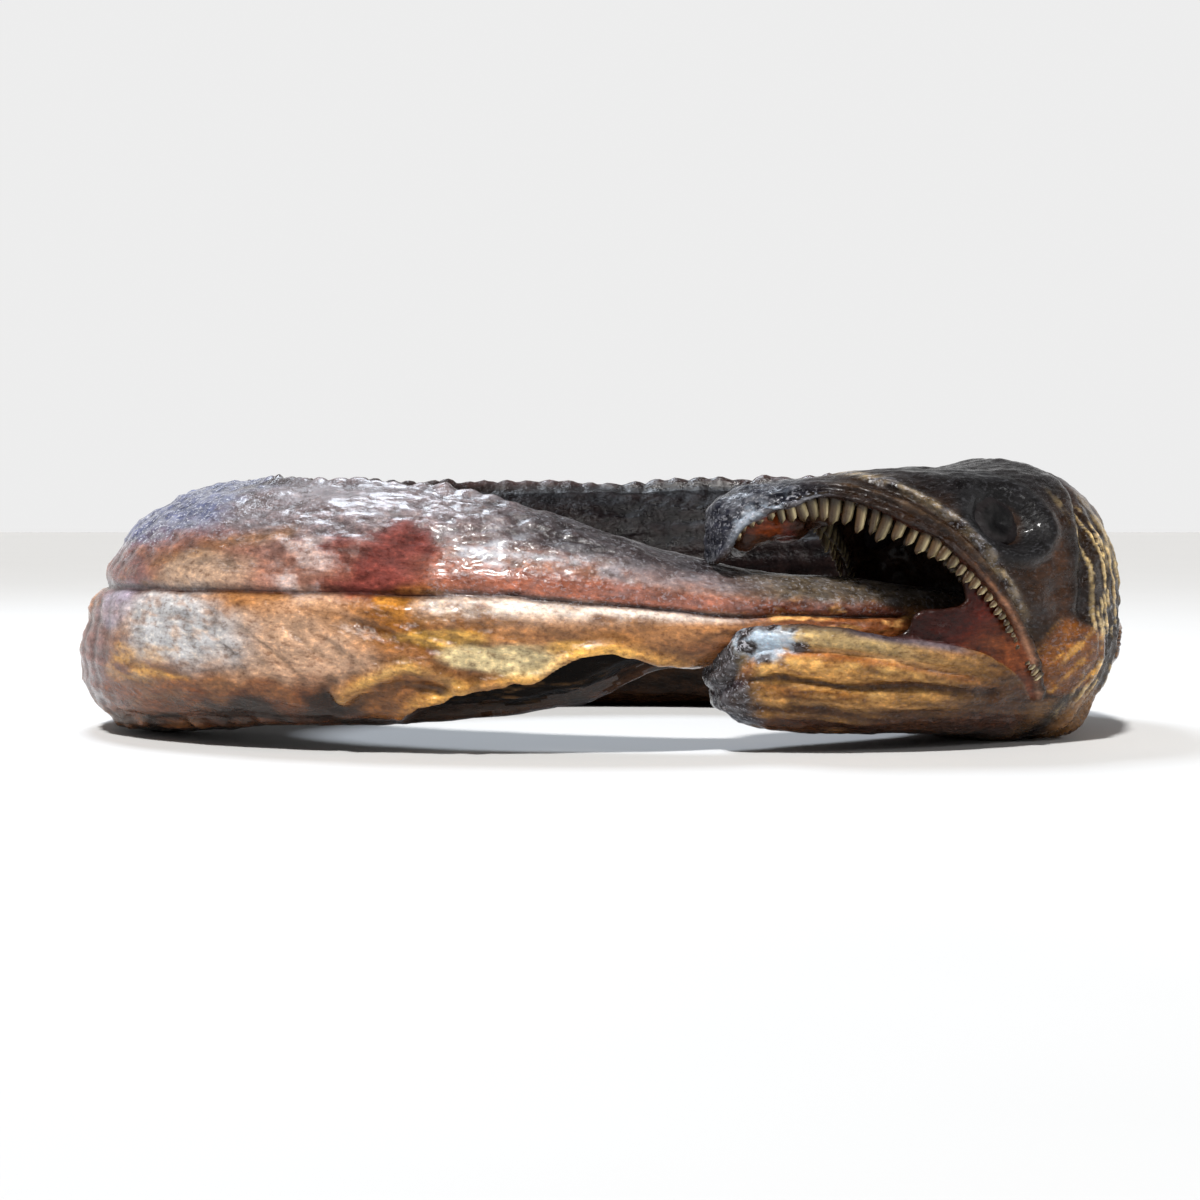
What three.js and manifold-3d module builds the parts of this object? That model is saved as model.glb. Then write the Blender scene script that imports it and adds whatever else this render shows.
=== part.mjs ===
// A smoked fish, dried in a ring with its tail gripped in its open mouth: one solid, in millimetres.
//
// The fish is first built straight, in fish coordinates, and then bent round the ring:
//   u  runs along the fish, from the tip of the snout to the tip of the tail,
//   w  runs across it, positive on the left flank, which is the outside of the ring,
//   h  runs up it, from the belly's keel to the ridge of the back, with zero at mid height.
// The ring lies flat on z = 0, longest along X. The head and the tail's tip are on the -Y side, and the
// body leaves the head at the +X end. The origin is the bottom centre of the bounding box.
import * as THREE from "three";
import { mergeVertices } from "three/addons/utils/BufferGeometryUtils.js";
import Module from "manifold-3d";

const wasm = await Module();
wasm.setup();

// ---- Driving dimensions -------------------------------------------------------------------------

const RING = {
  halfLength: 70.5, // of the body's centre line, along X
  halfDepth: 47, // the same, along Y
  snoutDeg: -75.5, // where the snout is, round the ring from +X; the tail's tip ends inside the throat
  centreX: -0.15, // the centre line's centre, which puts the bounding box on the origin
  centreY: -3.79,
};

// The body's own sizes at stations along it: half width, back above mid height, keel below it.
const BODY = [
  { u: 0, half: 4.5, back: 16.5, keel: 9.5 },
  { u: 2.5, half: 7.8, back: 18.8, keel: 14.4 },
  { u: 7, half: 10.5, back: 20.2, keel: 17 },
  { u: 15, half: 13.5, back: 21, keel: 18.2 },
  { u: 30, half: 17.2, back: 22, keel: 19.2 },
  { u: 44, half: 18.8, back: 22, keel: 20.2 },
  { u: 62, half: 18, back: 21.6, keel: 21.2 },
  { u: 95, half: 16.6, back: 20.8, keel: 21.4 },
  { u: 175, half: 16.4, back: 20.8, keel: 21.2 },
  { u: 262, half: 14.8, back: 23.2, keel: 22.4 },
  { u: 305, half: 12.6, back: 21, keel: 18 },
  { u: 336, half: 10.2, back: 17.8, keel: 16.6 },
  { u: 352, half: 8.8, back: 14, keel: 14.2 },
  { u: 364, half: 7.8, back: 10.6, keel: 8.8 },
  { u: 376, half: 6.8, back: 7.8, keel: 6.2 },
  { u: 396, half: 5.4, back: 5.8, keel: 5.6 },
  { u: 420, half: 3.6, back: 4, keel: 3.8 },
];
// How the body sits in the ring: mid height above the floor, how far the back leans inwards, and where
// the lateral line lies, both in degrees.
const SEAT = [
  { u: 0, height: 21, roll: 0, line: 0 },
  { u: 44, height: 21.6, roll: 0, line: 0 },
  { u: 95, height: 21.4, roll: 4, line: 0 },
  { u: 175, height: 20.9, roll: 14, line: -3 },
  { u: 262, height: 20.9, roll: 30, line: -10 },
  { u: 305, height: 21.4, roll: 20, line: -3 },
  { u: 336, height: 21.6, roll: 12, line: 3 },
  { u: 352, height: 21.4, roll: 8, line: 4 },
  { u: 378, height: 20.6, roll: 3, line: 3 },
  { u: 420, height: 20.4, roll: 0, line: 0 },
];
const JOIN = { u: 256, reach: 3, waist: 0.985 }; // where the front and the rear, bent separately, cross

// The open mouth, seen from the side: heights above the floor of the upper jaw's edge and the lower's.
const UPPER_EDGE = [
  { u: -8, z: 20 },
  { u: 0, z: 27.5 },
  { u: 1.4, z: 31.6 },
  { u: 3, z: 34.4 },
  { u: 6, z: 36.4 },
  { u: 9, z: 37.3 },
  { u: 14.5, z: 38.8 },
  { u: 18, z: 38.4 },
  { u: 21, z: 37.2 },
  { u: 25, z: 34.8 },
  { u: 29, z: 32 },
  { u: 32, z: 28.7 },
  { u: 35, z: 24.8 },
  { u: 38, z: 19.9 },
  { u: 40, z: 16.2 },
  { u: 42, z: 12.6 },
  { u: 44.5, z: 8.2 },
];
const LOWER_EDGE = [
  { u: -8, z: 16 },
  { u: 0, z: 17 },
  { u: 3, z: 19.4 },
  { u: 6, z: 19.9 },
  { u: 11, z: 19.8 },
  { u: 16.5, z: 19.3 },
  { u: 21.5, z: 18.3 },
  { u: 27, z: 17.2 },
  { u: 33, z: 15.9 },
  { u: 37.5, z: 13.6 },
  { u: 41.2, z: 10.6 },
  { u: 44.5, z: 7.6 },
];
const GAPE_END = 27; // where the open gape becomes the skin of the cheek
const CHEEK_DEPTH = 2.4; // how far that skin lies below the jaws
const JAW_WALL = 3; // how thick the jaws are beside the hollow of the mouth
const THROAT_END = 46;
const MOUTH_FLOOR = 14.6; // above the floor of the ring; the tail rests on it
const PALATE_VAULT = 1.4; // the palate above the upper jaw's edge

// The teeth of one side: the first and last, the longest and shortest, and the root inside the jaw.
const TOOTH = { count: 20, from: 2.5, to: 41, length: 5.2, least: 1.6, root: 1.4, radius: 1.5, inset: 1.2 };
const EYE = { u: 39.5, z: 35.4, faceUp: 28, socket: 5.8, out: 2.6, ball: 4.8, bulge: 1.9, sunk: 2.9 };
// The gill cover's rim, bowed backwards, its step down to the slit behind it, and its fade on the nape.
const GILL = { rim: 61, bow: 5, step: 0.6, reach: 16, thick: 1.6, slit: 2.4, gap: 4 };
const LATERAL = { deep: 1.7, from: 78, full: 115, fades: 390, to: 412 }; // the groove along each flank
const BACK_FIN = { from: 112, to: 342, tall: 1.5, thick: 1.5, knob: 4 }; // its dried, knobbly stump
const BELLY_FOLD = { from: 310, to: 370, tall: 2.2, thick: 2, drop: 0.84, wave: 0.05, folds: 3.3 };
const BELLY_SLIT = { from: 80, to: 168, deep: 4.5, wide: 2.4 };
const BREAST_FIN = { u: 66, long: 30, wide: 6.5, thick: 1.3, low: -7, fall: 5 };
const GILL_KNOB = { u: 56, z: 3.6, radius: 3.4 }; // at the lower end of the near gill cover

const SKIN_COLOUR = 0x6b3d22;

// ---- Small helpers ------------------------------------------------------------------------------

const radians = THREE.MathUtils.degToRad;
const { clamp, smoothstep } = THREE.MathUtils;

// A smooth curve through rows, read at u: cubic between rows, with no overshoot.
function along(rows, key, u) {
  const last = rows.length - 1;
  if (u <= rows[0].u) return rows[0][key];
  if (u >= rows[last].u) return rows[last][key];
  const i = rows.findIndex((row) => row.u > u) - 1;
  const rise = (k) => (rows[k + 1][key] - rows[k][key]) / (rows[k + 1].u - rows[k].u);
  const slope = (k) => {
    if (k === 0 || k === last) return 0;
    const [a, b] = [rise(k - 1), rise(k)];
    return a * b <= 0 ? 0 : (2 * a * b) / (a + b);
  };
  const span = rows[i + 1].u - rows[i].u;
  const t = (u - rows[i].u) / span;
  const [t2, t3] = [t * t, t * t * t];
  return (
    (2 * t3 - 3 * t2 + 1) * rows[i][key] +
    (t3 - 2 * t2 + t) * span * slope(i) +
    (3 * t2 - 2 * t3) * rows[i + 1][key] +
    (t3 - t2) * span * slope(i + 1)
  );
}

// Evenly spaced numbers from a to b, both included, no further apart than step.
function steps(a, b, step) {
  const count = Math.ceil((b - a) / step);
  return Array.from({ length: count + 1 }, (_, i) => a + ((b - a) * i) / count);
}

// ---- The ring -----------------------------------------------------------------------------------

// The centre line as a table of length against angle round an ellipse, one full turn and a bit more,
// starting a little ahead of the snout.
const AHEAD_DEG = 12;
const STEP_DEG = 0.5;
const firstDeg = RING.snoutDeg - AHEAD_DEG;
const TURN = steps(radians(firstDeg), radians(firstDeg + 430), radians(STEP_DEG));
const onEllipse = (a) => [RING.halfLength * Math.cos(a), RING.halfDepth * Math.sin(a)];
const LENGTHS = [0];
for (let i = 1; i < TURN.length; i++) {
  const [[x0, y0], [x1, y1]] = [onEllipse(TURN[i - 1]), onEllipse(TURN[i])];
  LENGTHS.push(LENGTHS[i - 1] + Math.hypot(x1 - x0, y1 - y0));
}
const snoutAt = LENGTHS[AHEAD_DEG / STEP_DEG];

// The angle round the ring at length u from the snout.
function turnAt(u) {
  const wanted = clamp(u + snoutAt, 0, LENGTHS.at(-1));
  const i = clamp(LENGTHS.findIndex((length) => length >= wanted), 1, LENGTHS.length - 1);
  const share = (wanted - LENGTHS[i - 1]) / (LENGTHS[i] - LENGTHS[i - 1]);
  return TURN[i - 1] + share * (TURN[i] - TURN[i - 1]);
}

// Fish coordinates to the ring: h is from mid height, and the back leans inwards by the body's roll.
function bend(u, w, h) {
  const a = turnAt(u);
  const [x, y] = onEllipse(a);
  const out = new THREE.Vector2(Math.cos(a) / RING.halfLength, Math.sin(a) / RING.halfDepth).normalize();
  const roll = radians(along(SEAT, "roll", u));
  const across = w * Math.cos(roll) - h * Math.sin(roll);
  const up = h * Math.cos(roll) + w * Math.sin(roll);
  return new THREE.Vector3(
    RING.centreX + x + out.x * across,
    RING.centreY + y + out.y * across,
    along(SEAT, "height", u) + up,
  );
}

// ---- Solids in fish coordinates -----------------------------------------------------------------

// A closed geometry as a manifold-3d solid.
function solid(geometry) {
  const bare = geometry.clone();
  for (const name of Object.keys(bare.attributes)) if (name !== "position") bare.deleteAttribute(name);
  const merged = mergeVertices(bare, 1e-4);
  return new wasm.Manifold(
    new wasm.Mesh({
      numProp: 3,
      vertProperties: new Float32Array(merged.attributes.position.array),
      triVerts: new Uint32Array(merged.index.array),
    }),
  );
}

// The solid's faces as a geometry again.
function geometryOf(made) {
  const { vertProperties, triVerts } = made.getMesh();
  return new THREE.BufferGeometry()
    .setAttribute("position", new THREE.BufferAttribute(new Float32Array(vertProperties), 3))
    .setIndex(new THREE.BufferAttribute(new Uint32Array(triVerts), 1));
}

// A closed skin over rings of points, one ring for each station, all with as many points.
function loft(rings) {
  const n = rings[0].length;
  const points = rings.flat();
  const index = [];
  for (let i = 0; i + 1 < rings.length; i++)
    for (let j = 0; j < n; j++) {
      const [a, b] = [i * n + j, i * n + ((j + 1) % n)];
      index.push(a, b, a + n, b, b + n, a + n);
    }
  const cap = (start, flip) => {
    const centre = new THREE.Vector3();
    for (let j = 0; j < n; j++) centre.addScaledVector(points[start + j], 1 / n);
    points.push(centre);
    for (let j = 0; j < n; j++) {
      const edge = [start + j, start + ((j + 1) % n)];
      index.push(points.length - 1, ...(flip ? edge.reverse() : edge));
    }
  };
  cap(0, true);
  cap((rings.length - 1) * n, false);
  return new THREE.BufferGeometry().setFromPoints(points).setIndex(index);
}

// The turns round a section, in degrees: close together beside the groove, wider towards the ridges.
const QUARTER = [7, 20, 34, 49, 64, 78];
const SECTION_TURNS = [
  0,
  ...QUARTER,
  90,
  ...QUARTER.map((a) => 180 - a).reverse(),
  180,
  ...QUARTER.map((a) => 180 + a),
  270,
  ...QUARTER.map((a) => 360 - a).reverse(),
].map(radians);

// How far the skin stands out at u and turn: the gill cover's plate and the slit behind it, which
// fade out over the nape, and the groove of the lateral line.
function relief(u, turn) {
  const { rim, bow, step, reach, thick, slit, gap } = GILL;
  const past = u - (rim - bow * (1 - Math.abs(Math.cos(turn))));
  const nape = smoothstep(Math.sin(turn), 0.5, 0.9);
  const cover = smoothstep(u, rim - 21, rim - 9) * (1 - smoothstep(past, -step, step + reach * nape));
  const opening = smoothstep(past, -step, step) * (1 - smoothstep(past, 2 * step, gap)) * (1 - nape);
  const nearLine = 1 - smoothstep(Math.abs(Math.sin(turn)), 0.02, 0.18);
  const fade = smoothstep(u, LATERAL.from, LATERAL.full) * (1 - smoothstep(u, LATERAL.fades, LATERAL.to));
  return thick * cover - slit * opening - LATERAL.deep * fade * nearLine;
}

// How sharp the ridge and the keel are at u: the section is a leaf, boxier in the head.
function sharpness(u, up) {
  const head = 1 - smoothstep(u, 40, 90);
  const rear = smoothstep(u, 180, 260) * (1 - smoothstep(u, 300, 370));
  return up > 0 ? 1.12 - 0.37 * head + 0.26 * rear : 0.88 - 0.2 * head - 0.1 * rear;
}

// The flank's distance from the middle plane, at u and height h.
function flank(u, h) {
  const s = clamp(h / along(BODY, h > 0 ? "back" : "keel", u), -1, 1);
  return along(BODY, "half", u) * Math.pow(1 - s * s, sharpness(u, h) / 2);
}

// The body's section at u, as points all round it; the lateral line shifts the turns near mid height.
function section(u, size = 1) {
  const line = radians(along(SEAT, "line", u));
  return SECTION_TURNS.map((even) => {
    const turn = even + line * Math.cos(even);
    const s = Math.sin(turn);
    const c = Math.abs(Math.cos(turn)) < 1e-9 ? 0 : Math.cos(turn);
    const out = relief(u, even);
    const h = s * along(BODY, s > 0 ? "back" : "keel", u);
    const w = Math.sign(c) * Math.pow(Math.abs(c), sharpness(u, s)) * along(BODY, "half", u);
    return new THREE.Vector3(u, (w + out * c) * size, (h + out * s) * size);
  });
}

// The h of a height stated from the floor of the ring.
const fromMid = (u, z) => z - along(SEAT, "height", u);

// The two halves of the body reach into each other, each a little narrower at its end.
function bodyFront() {
  const snout = steps(0, 3, 1);
  const head = [...steps(5, 41, 4), ...steps(44, 54, 3.4)];
  const gills = steps(GILL.rim - GILL.bow, GILL.rim + 7, 1.5);
  const trunk = steps(73, JOIN.u - JOIN.reach, 6.5);
  const rings = [...snout, ...head, ...gills, ...trunk].map((u) => section(u));
  return solid(loft([...rings, section(JOIN.u + JOIN.reach, JOIN.waist)]));
}

function bodyRear() {
  const rings = steps(JOIN.u + JOIN.reach, BODY.at(-1).u, 5.5).map((u) => section(u));
  return solid(loft([section(JOIN.u - JOIN.reach, JOIN.waist), ...rings]));
}

// A box-like loft between two heights and two sides, all functions of u; it cuts the mouth.
function slab(stations, sides, heights) {
  return solid(
    loft(
      stations.map((u) => {
        const [[w0, w1], [z0, z1]] = [sides(u), heights(u)];
        const [h0, h1] = [fromMid(u, z0), fromMid(u, Math.max(z1, z0 + 0.05))];
        const middle = (w0 + w1) / 2;
        return [
          new THREE.Vector3(u, w1, h0),
          new THREE.Vector3(u, w1, h1),
          new THREE.Vector3(u, middle, h1),
          new THREE.Vector3(u, w0, h1),
          new THREE.Vector3(u, w0, h0),
          new THREE.Vector3(u, middle, h0),
        ];
      }),
    ),
  );
}

const gape = (u) => [along(LOWER_EDGE, "z", u), along(UPPER_EDGE, "z", u)];

function openMouth(body) {
  const beyond = 40;
  // The gape's rear end is rounded, where the skin of the cheek spans the jaws.
  const roundedFrom = GAPE_END - 6;
  const rounded = (u) => {
    const [low, high] = gape(u);
    const past = clamp((u - roundedFrom) / (GAPE_END - roundedFrom), 0, 1);
    const close = ((1 - Math.sqrt(1 - past * past)) / 2) * (high - low);
    return [low + close, high - close];
  };
  const stations = [...steps(-7.5, roundedFrom, 3.2), ...steps(roundedFrom + 2, GAPE_END, 1.4)];
  const through = slab(stations, () => [-beyond, beyond], rounded);
  const cheek = (side) => {
    const inner = (u) => flank(u, fromMid(u, gape(u)[1])) - CHEEK_DEPTH;
    const sides = (u) => (side > 0 ? [inner(u), beyond] : [-beyond, -inner(u)]);
    return slab(steps(roundedFrom - 1, UPPER_EDGE.at(-1).u - 0.4, 3), sides, gape);
  };
  return body.subtract(through).subtract(cheek(1)).subtract(cheek(-1)).subtract(hollowOfMouth());
}

// The hollow between the jaws, from just behind the lips to the throat, with walls of even thickness.
// Each section is a vault: its points are at these shares of its height, and narrower at both ends.
function hollowOfMouth() {
  const shares = [0, 0.12, 0.4, 0.7, 0.9, 1];
  const narrower = { 0: 0.8, 1: 0.6 };
  return solid(
    loft(
      steps(3, THROAT_END, 4.3).map((u) => {
        const fade = Math.sqrt(clamp((THROAT_END + 0.5 - u) / 10, 0, 1));
        const under = fromMid(u, MOUTH_FLOOR);
        const vault = fromMid(u, along(UPPER_EDGE, "z", Math.min(u, 17)) + PALATE_VAULT);
        const roof = Math.min(vault, along(BODY, "back", u) - JAW_WALL);
        const half = shares.map((share) => {
          const h = under + share * (roof - under) * fade;
          const inside = Math.max(0.6, (flank(u, h) - JAW_WALL) * Math.max(fade, 0.3));
          return [inside * (narrower[share] ?? 1), h];
        });
        const other = half.map(([w, h]) => [-w, h]).reverse();
        return [...half, ...other].map(([w, h]) => new THREE.Vector3(u, w, h));
      }),
    ),
  );
}

// The teeth hang from the upper jaw's edge, longest near the front, and lean back more and more.
function teeth() {
  const made = [];
  for (const side of [1, -1])
    for (let i = 0; i < TOOTH.count; i++) {
      const share = i / (TOOTH.count - 1);
      const u = TOOTH.from + (TOOTH.to - TOOTH.from) * Math.pow(share, 0.92);
      const size = 0.55 + 0.45 * Math.sin(Math.PI * Math.min(1, share * 1.3 + 0.22));
      const length = Math.max(TOOTH.least, TOOTH.length * size * (1 - 0.62 * share * share));
      const cone = new THREE.ConeGeometry(TOOTH.radius * (1 - 0.35 * share), length + TOOTH.root, 4);
      cone.rotateX(-Math.PI / 2).translate(0, 0, -(length - TOOTH.root) / 2);
      cone.rotateY(0.18 + 0.5 * share);
      const h = fromMid(u, along(UPPER_EDGE, "z", u));
      made.push(solid(cone.translate(u, side * (flank(u, h + 1) - TOOTH.inset), h)));
    }
  return made;
}

// The sockets and the shrunken eyeballs in them, which face outwards and a little up.
function eyes() {
  return [1, -1].map((side) => {
    const h = fromMid(EYE.u, EYE.z);
    const up = radians(EYE.faceUp);
    const at = (out) => [EYE.u, side * (flank(EYE.u, h) + out * Math.cos(up)), h + out * Math.sin(up)];
    const socket = new THREE.IcosahedronGeometry(EYE.socket, 2).translate(...at(EYE.out));
    const ball = new THREE.IcosahedronGeometry(1, 2).scale(EYE.ball, EYE.bulge, EYE.ball);
    ball.rotateX(side * up).translate(...at(-EYE.sunk));
    return { socket: solid(socket), ball: solid(ball) };
  });
}

// A thin strip that runs along the fish: its middle, half height and half thickness are functions of u.
function strip(stations, middle, tall, thick, around = 6) {
  return solid(
    loft(
      stations.map((u) => {
        const [w, h] = middle(u);
        return Array.from({ length: around }, (_, j) => {
          const turn = (2 * Math.PI * (j + 0.5)) / around;
          return new THREE.Vector3(u, w + thick(u) * Math.cos(turn), h + tall(u) * Math.sin(turn));
        });
      }),
    ),
  );
}

// A share that rises from 0 at u0, stays at 1 and falls to 0 again at u1, over a given length.
const tapered = (u, u0, u1, over) => Math.sqrt(clamp(Math.min(u - u0, u1 - u) / over, 0.02, 1));

// The dried stump of the back fin, broken at the join: a knobbly crest on the ridge from u0 to u1.
function backFin(u0, u1) {
  const { from, tall, thick, knob } = BACK_FIN;
  const ends = (u) => tapered(u, u0, u1, 20);
  const knobs = (u) => 0.75 + 0.25 * Math.cos((Math.PI * (u - from)) / knob);
  const middle = (u) => [0.5 * Math.sin(u / 9), along(BODY, "back", u) - 0.4];
  return strip(steps(u0, u1, knob), middle, (u) => tall * knobs(u) * ends(u), (u) => thick * ends(u));
}

// The wavy fold of skin along the belly's fin, on the left flank just above the keel.
function bellyFold() {
  const { from, to, tall, thick, drop, wave, folds } = BELLY_FOLD;
  const ends = (u) => tapered(u, from, to, 15);
  const middle = (u) => {
    const share = (u - from) / (to - from);
    const h = (wave * Math.sin(2 * Math.PI * folds * share) - drop) * along(BODY, "keel", u);
    return [flank(u, h) - 0.2, h];
  };
  return strip(steps(from, to, 3.5), middle, (u) => tall * ends(u), (u) => thick * ends(u));
}

// The cut along the belly, through which the fish was cleaned.
function bellySlit() {
  const { from, to, deep, wide } = BELLY_SLIT;
  const ends = (u) => tapered(u, from, to, 16);
  const middle = (u) => [0.6 * Math.sin(u / 11), -along(BODY, "keel", u)];
  return strip(steps(from, to, 5.5), middle, (u) => deep * ends(u), (u) => wide * ends(u), 4);
}

// A dried breast fin, folded back along the flank behind the gill cover.
function breastFin(side) {
  const { u: root, long, wide, thick, low, fall } = BREAST_FIN;
  const share = (u) => (u - root) / long;
  const spread = (u) => 0.2 + 0.8 * Math.sin(Math.PI * (0.12 + 0.8 * share(u)));
  const middle = (u) => {
    const h = low - fall * share(u);
    return [side * (flank(u, h) + 0.2), h];
  };
  return strip(steps(root, root + long, 3), middle, (u) => wide * spread(u), () => thick);
}

function gillKnob() {
  const ball = new THREE.IcosahedronGeometry(GILL_KNOB.radius, 2).scale(1.3, 1, 0.9);
  const h = fromMid(GILL_KNOB.u, GILL_KNOB.z);
  return solid(ball.translate(GILL_KNOB.u, flank(GILL_KNOB.u, h), h));
}

// ---- The fish -----------------------------------------------------------------------------------

// A straight solid, bent round the ring. The bend mirrors it, so its faces are turned round as well.
function bent(made) {
  const geometry = geometryOf(made);
  const place = geometry.getAttribute("position");
  for (let i = 0; i < place.count; i++) {
    const p = bend(place.getX(i), place.getY(i), place.getZ(i));
    place.setXYZ(i, p.x, p.y, p.z);
  }
  geometry.index.array.reverse();
  return solid(geometry);
}

function smokedFish() {
  let front = openMouth(bodyFront());
  for (const eye of eyes()) front = front.subtract(eye.socket).add(eye.ball);
  for (const piece of [...teeth(), gillKnob(), breastFin(1), breastFin(-1)]) front = front.add(piece);
  front = front.add(backFin(BACK_FIN.from, JOIN.u - 2 * JOIN.reach)).subtract(bellySlit());
  const rear = bodyRear().add(bellyFold()).add(backFin(JOIN.u + 2 * JOIN.reach, BACK_FIN.to));
  // The floor trims the lowest places to small flats, which the fish rests on.
  const below = 60;
  const floor = new THREE.BoxGeometry(4 * RING.halfLength, 4 * RING.halfDepth, below);
  return bent(front).add(bent(rear)).subtract(solid(floor.translate(0, 0, -below / 2)));
}

const group = new THREE.Group();
const skin = new THREE.MeshStandardMaterial({ color: SKIN_COLOUR, roughness: 0.45, metalness: 0 });
const fish = new THREE.Mesh(geometryOf(smokedFish()), skin);
fish.name = "smoked_fish";
group.add(fish);

export default group;
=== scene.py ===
"""A smoked fish, dried in a ring with its tail gripped in its open mouth.

Every piece is first built straight, in fish coordinates in millimetres, and then bent round the ring:
    u  runs along the fish, from the tip of the snout to the tip of the tail,
    w  runs across it, positive on the left flank, which is the outside of the ring,
    h  runs up it, from the belly's keel to the ridge of the back, with zero at mid height,
    z  is a height above the floor that the ring lies on.
"""
import math

import bpy
import numpy as np
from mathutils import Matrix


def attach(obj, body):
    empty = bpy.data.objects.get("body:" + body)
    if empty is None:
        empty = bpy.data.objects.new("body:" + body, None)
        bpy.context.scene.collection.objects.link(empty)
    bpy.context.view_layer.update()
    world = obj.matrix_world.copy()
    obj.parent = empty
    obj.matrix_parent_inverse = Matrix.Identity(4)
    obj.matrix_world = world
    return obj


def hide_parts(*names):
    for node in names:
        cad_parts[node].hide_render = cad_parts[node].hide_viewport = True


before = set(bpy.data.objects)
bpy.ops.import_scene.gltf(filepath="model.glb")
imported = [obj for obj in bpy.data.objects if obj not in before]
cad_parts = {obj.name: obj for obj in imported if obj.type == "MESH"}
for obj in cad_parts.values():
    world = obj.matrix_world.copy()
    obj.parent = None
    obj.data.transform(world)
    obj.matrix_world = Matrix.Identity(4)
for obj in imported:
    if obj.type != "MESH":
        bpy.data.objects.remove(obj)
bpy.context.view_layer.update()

import openvdb
from mathutils import Vector

MM = 0.001

# ---- Driving dimensions ----------------------------------------------------------------------------

# They are the solid's, but for the snout ahead of u = 15, the jaws' edges ahead of u = 3, and the eye's
# height and tilt.
RING_HALF_LENGTH = 70.5
RING_HALF_DEPTH = 47
RING_CENTRE = (-0.15, -3.79)
SNOUT_DEG = -75.5

# Stations along the body: u, half width, back above mid height, keel below it.
BODY = [
    (-1.6, 2.4, 14, 6), (-1, 4.2, 16, 9.6), (0, 5.8, 17.6, 11.8), (2, 7.8, 18.8, 14.4), (4, 9.2, 19.6, 16),
    (8, 11, 20.4, 17.2), (15, 13.5, 21, 18.2), (30, 17.2, 22, 19.2), (44, 18.8, 22, 20.2),
    (62, 18, 21.6, 21.2), (95, 16.6, 20.8, 21.4), (175, 16.4, 20.8, 21.2), (262, 14.8, 23.2, 22.4),
    (305, 12.6, 21, 18), (336, 10.2, 17.8, 16.6), (352, 8.8, 14, 14.2), (364, 7.8, 10.6, 8.8),
    (376, 6.8, 7.8, 6.2), (396, 5.4, 5.8, 5.6), (420, 3.6, 4, 3.8),
]
HALF, BACK, KEEL = 1, 2, 3
# How it sits in the ring: u, mid height, how far the back leans inwards, where the lateral line lies.
SEAT = [
    (0, 21, 0, 0), (44, 21.6, 0, 0), (95, 21.4, 4, 0), (175, 20.9, 14, -3), (262, 20.9, 30, -10),
    (305, 21.4, 20, -3), (336, 21.6, 12, 3), (352, 21.4, 8, 4), (378, 20.6, 3, 3), (420, 20.4, 0, 0),
]
HEIGHT, ROLL, LINE = 1, 2, 3
# The open mouth from the side: u and the height above the floor of the jaws' edges.
UPPER_EDGE = [
    (-8, 27.6), (-1, 28.6), (0.6, 29.8), (1.6, 32), (3, 34.4), (6, 36.4), (9, 37.3), (14.5, 38.8),
    (18, 38.4), (21, 37.2), (25, 34.8), (29, 32), (32, 28.7), (35, 24.8), (38, 19.9), (40, 16.2),
    (42, 12.6), (44.5, 8.2),
]
LOWER_EDGE = [
    (-8, 9), (-1.2, 13.6), (0.4, 17), (3, 19.4), (6, 19.9), (11, 19.8), (16.5, 19.3), (21.5, 18.3),
    (27, 17.2), (33, 15.9), (37.5, 13.6), (41.2, 10.6), (44.5, 7.6),
]
EYE_U, EYE_Z, EYE_UP_DEG, SOCKET = 39.5, 36.4, 22, 5.8
GILL_RIM, GILL_BOW, GILL_THICK, GILL_SLIT, GILL_REACH = 61, 5, 1.6, 2.4, 16


# ---- Numbers along the fish ------------------------------------------------------------------------

def along(rows, column, u):
    """A smooth curve through the rows' column, read at u: cubic between rows, with no overshoot."""
    table = np.array(rows, float)
    at, value = table[:, 0], table[:, column]
    rise = np.diff(value) / np.diff(at)
    before, after = rise[:-1], rise[1:]
    total = np.where(before + after == 0, 1, before + after)
    slope = np.zeros(len(value))
    slope[1:-1] = np.where(before * after <= 0, 0, 2 * before * after / total)
    u = np.clip(u, at[0], at[-1])
    i = np.clip(np.searchsorted(at, u, side="right") - 1, 0, len(at) - 2)
    span = at[i + 1] - at[i]
    t = (u - at[i]) / span
    return (
        (2 * t**3 - 3 * t**2 + 1) * value[i] + (t**3 - 2 * t**2 + t) * span * slope[i]
        + (3 * t**2 - 2 * t**3) * value[i + 1] + (t**3 - t**2) * span * slope[i + 1]
    )


def smooth(x, low, high):
    """0 below low, 1 above high, and a smooth step between; high below low turns it round."""
    t = np.clip((x - low) / (high - low), 0, 1)
    return t * t * (3 - 2 * t)


def window(x, rise, full, fade, gone):
    """0 below rise, 1 from full to fade, and 0 again above gone."""
    return smooth(x, rise, full) * smooth(x, gone, fade)


def bump(x, centre, width):
    """A bell curve, 1 at the centre."""
    return np.exp(-(((x - centre) / width) ** 2))


def smooth_min(a, b, radius):
    """The smaller of two numbers, with the corner where they meet rounded off."""
    blend = np.clip(0.5 + 0.5 * (b - a) / radius, 0, 1)
    return b + (a - b) * blend - radius * blend * (1 - blend)


def smooth_max(a, b, radius):
    return -smooth_min(-a, -b, radius)


def distance_to(route, u, z):
    """The distance in the side view from points to a route of (u, z) corners."""
    nearest = np.full(np.shape(u), 1e9)
    for (u0, z0), (u1, z1) in zip(route[:-1], route[1:]):
        du, dz = u1 - u0, z1 - z0
        t = np.clip(((u - u0) * du + (z - z0) * dz) / (du * du + dz * dz), 0, 1)
        nearest = np.minimum(nearest, np.hypot(u - u0 - t * du, z - z0 - t * dz))
    return nearest


def run_length(x, y):
    """The length along a line up to each of its points."""
    return np.concatenate([[0], np.cumsum(np.hypot(np.diff(x), np.diff(y)))])


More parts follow.
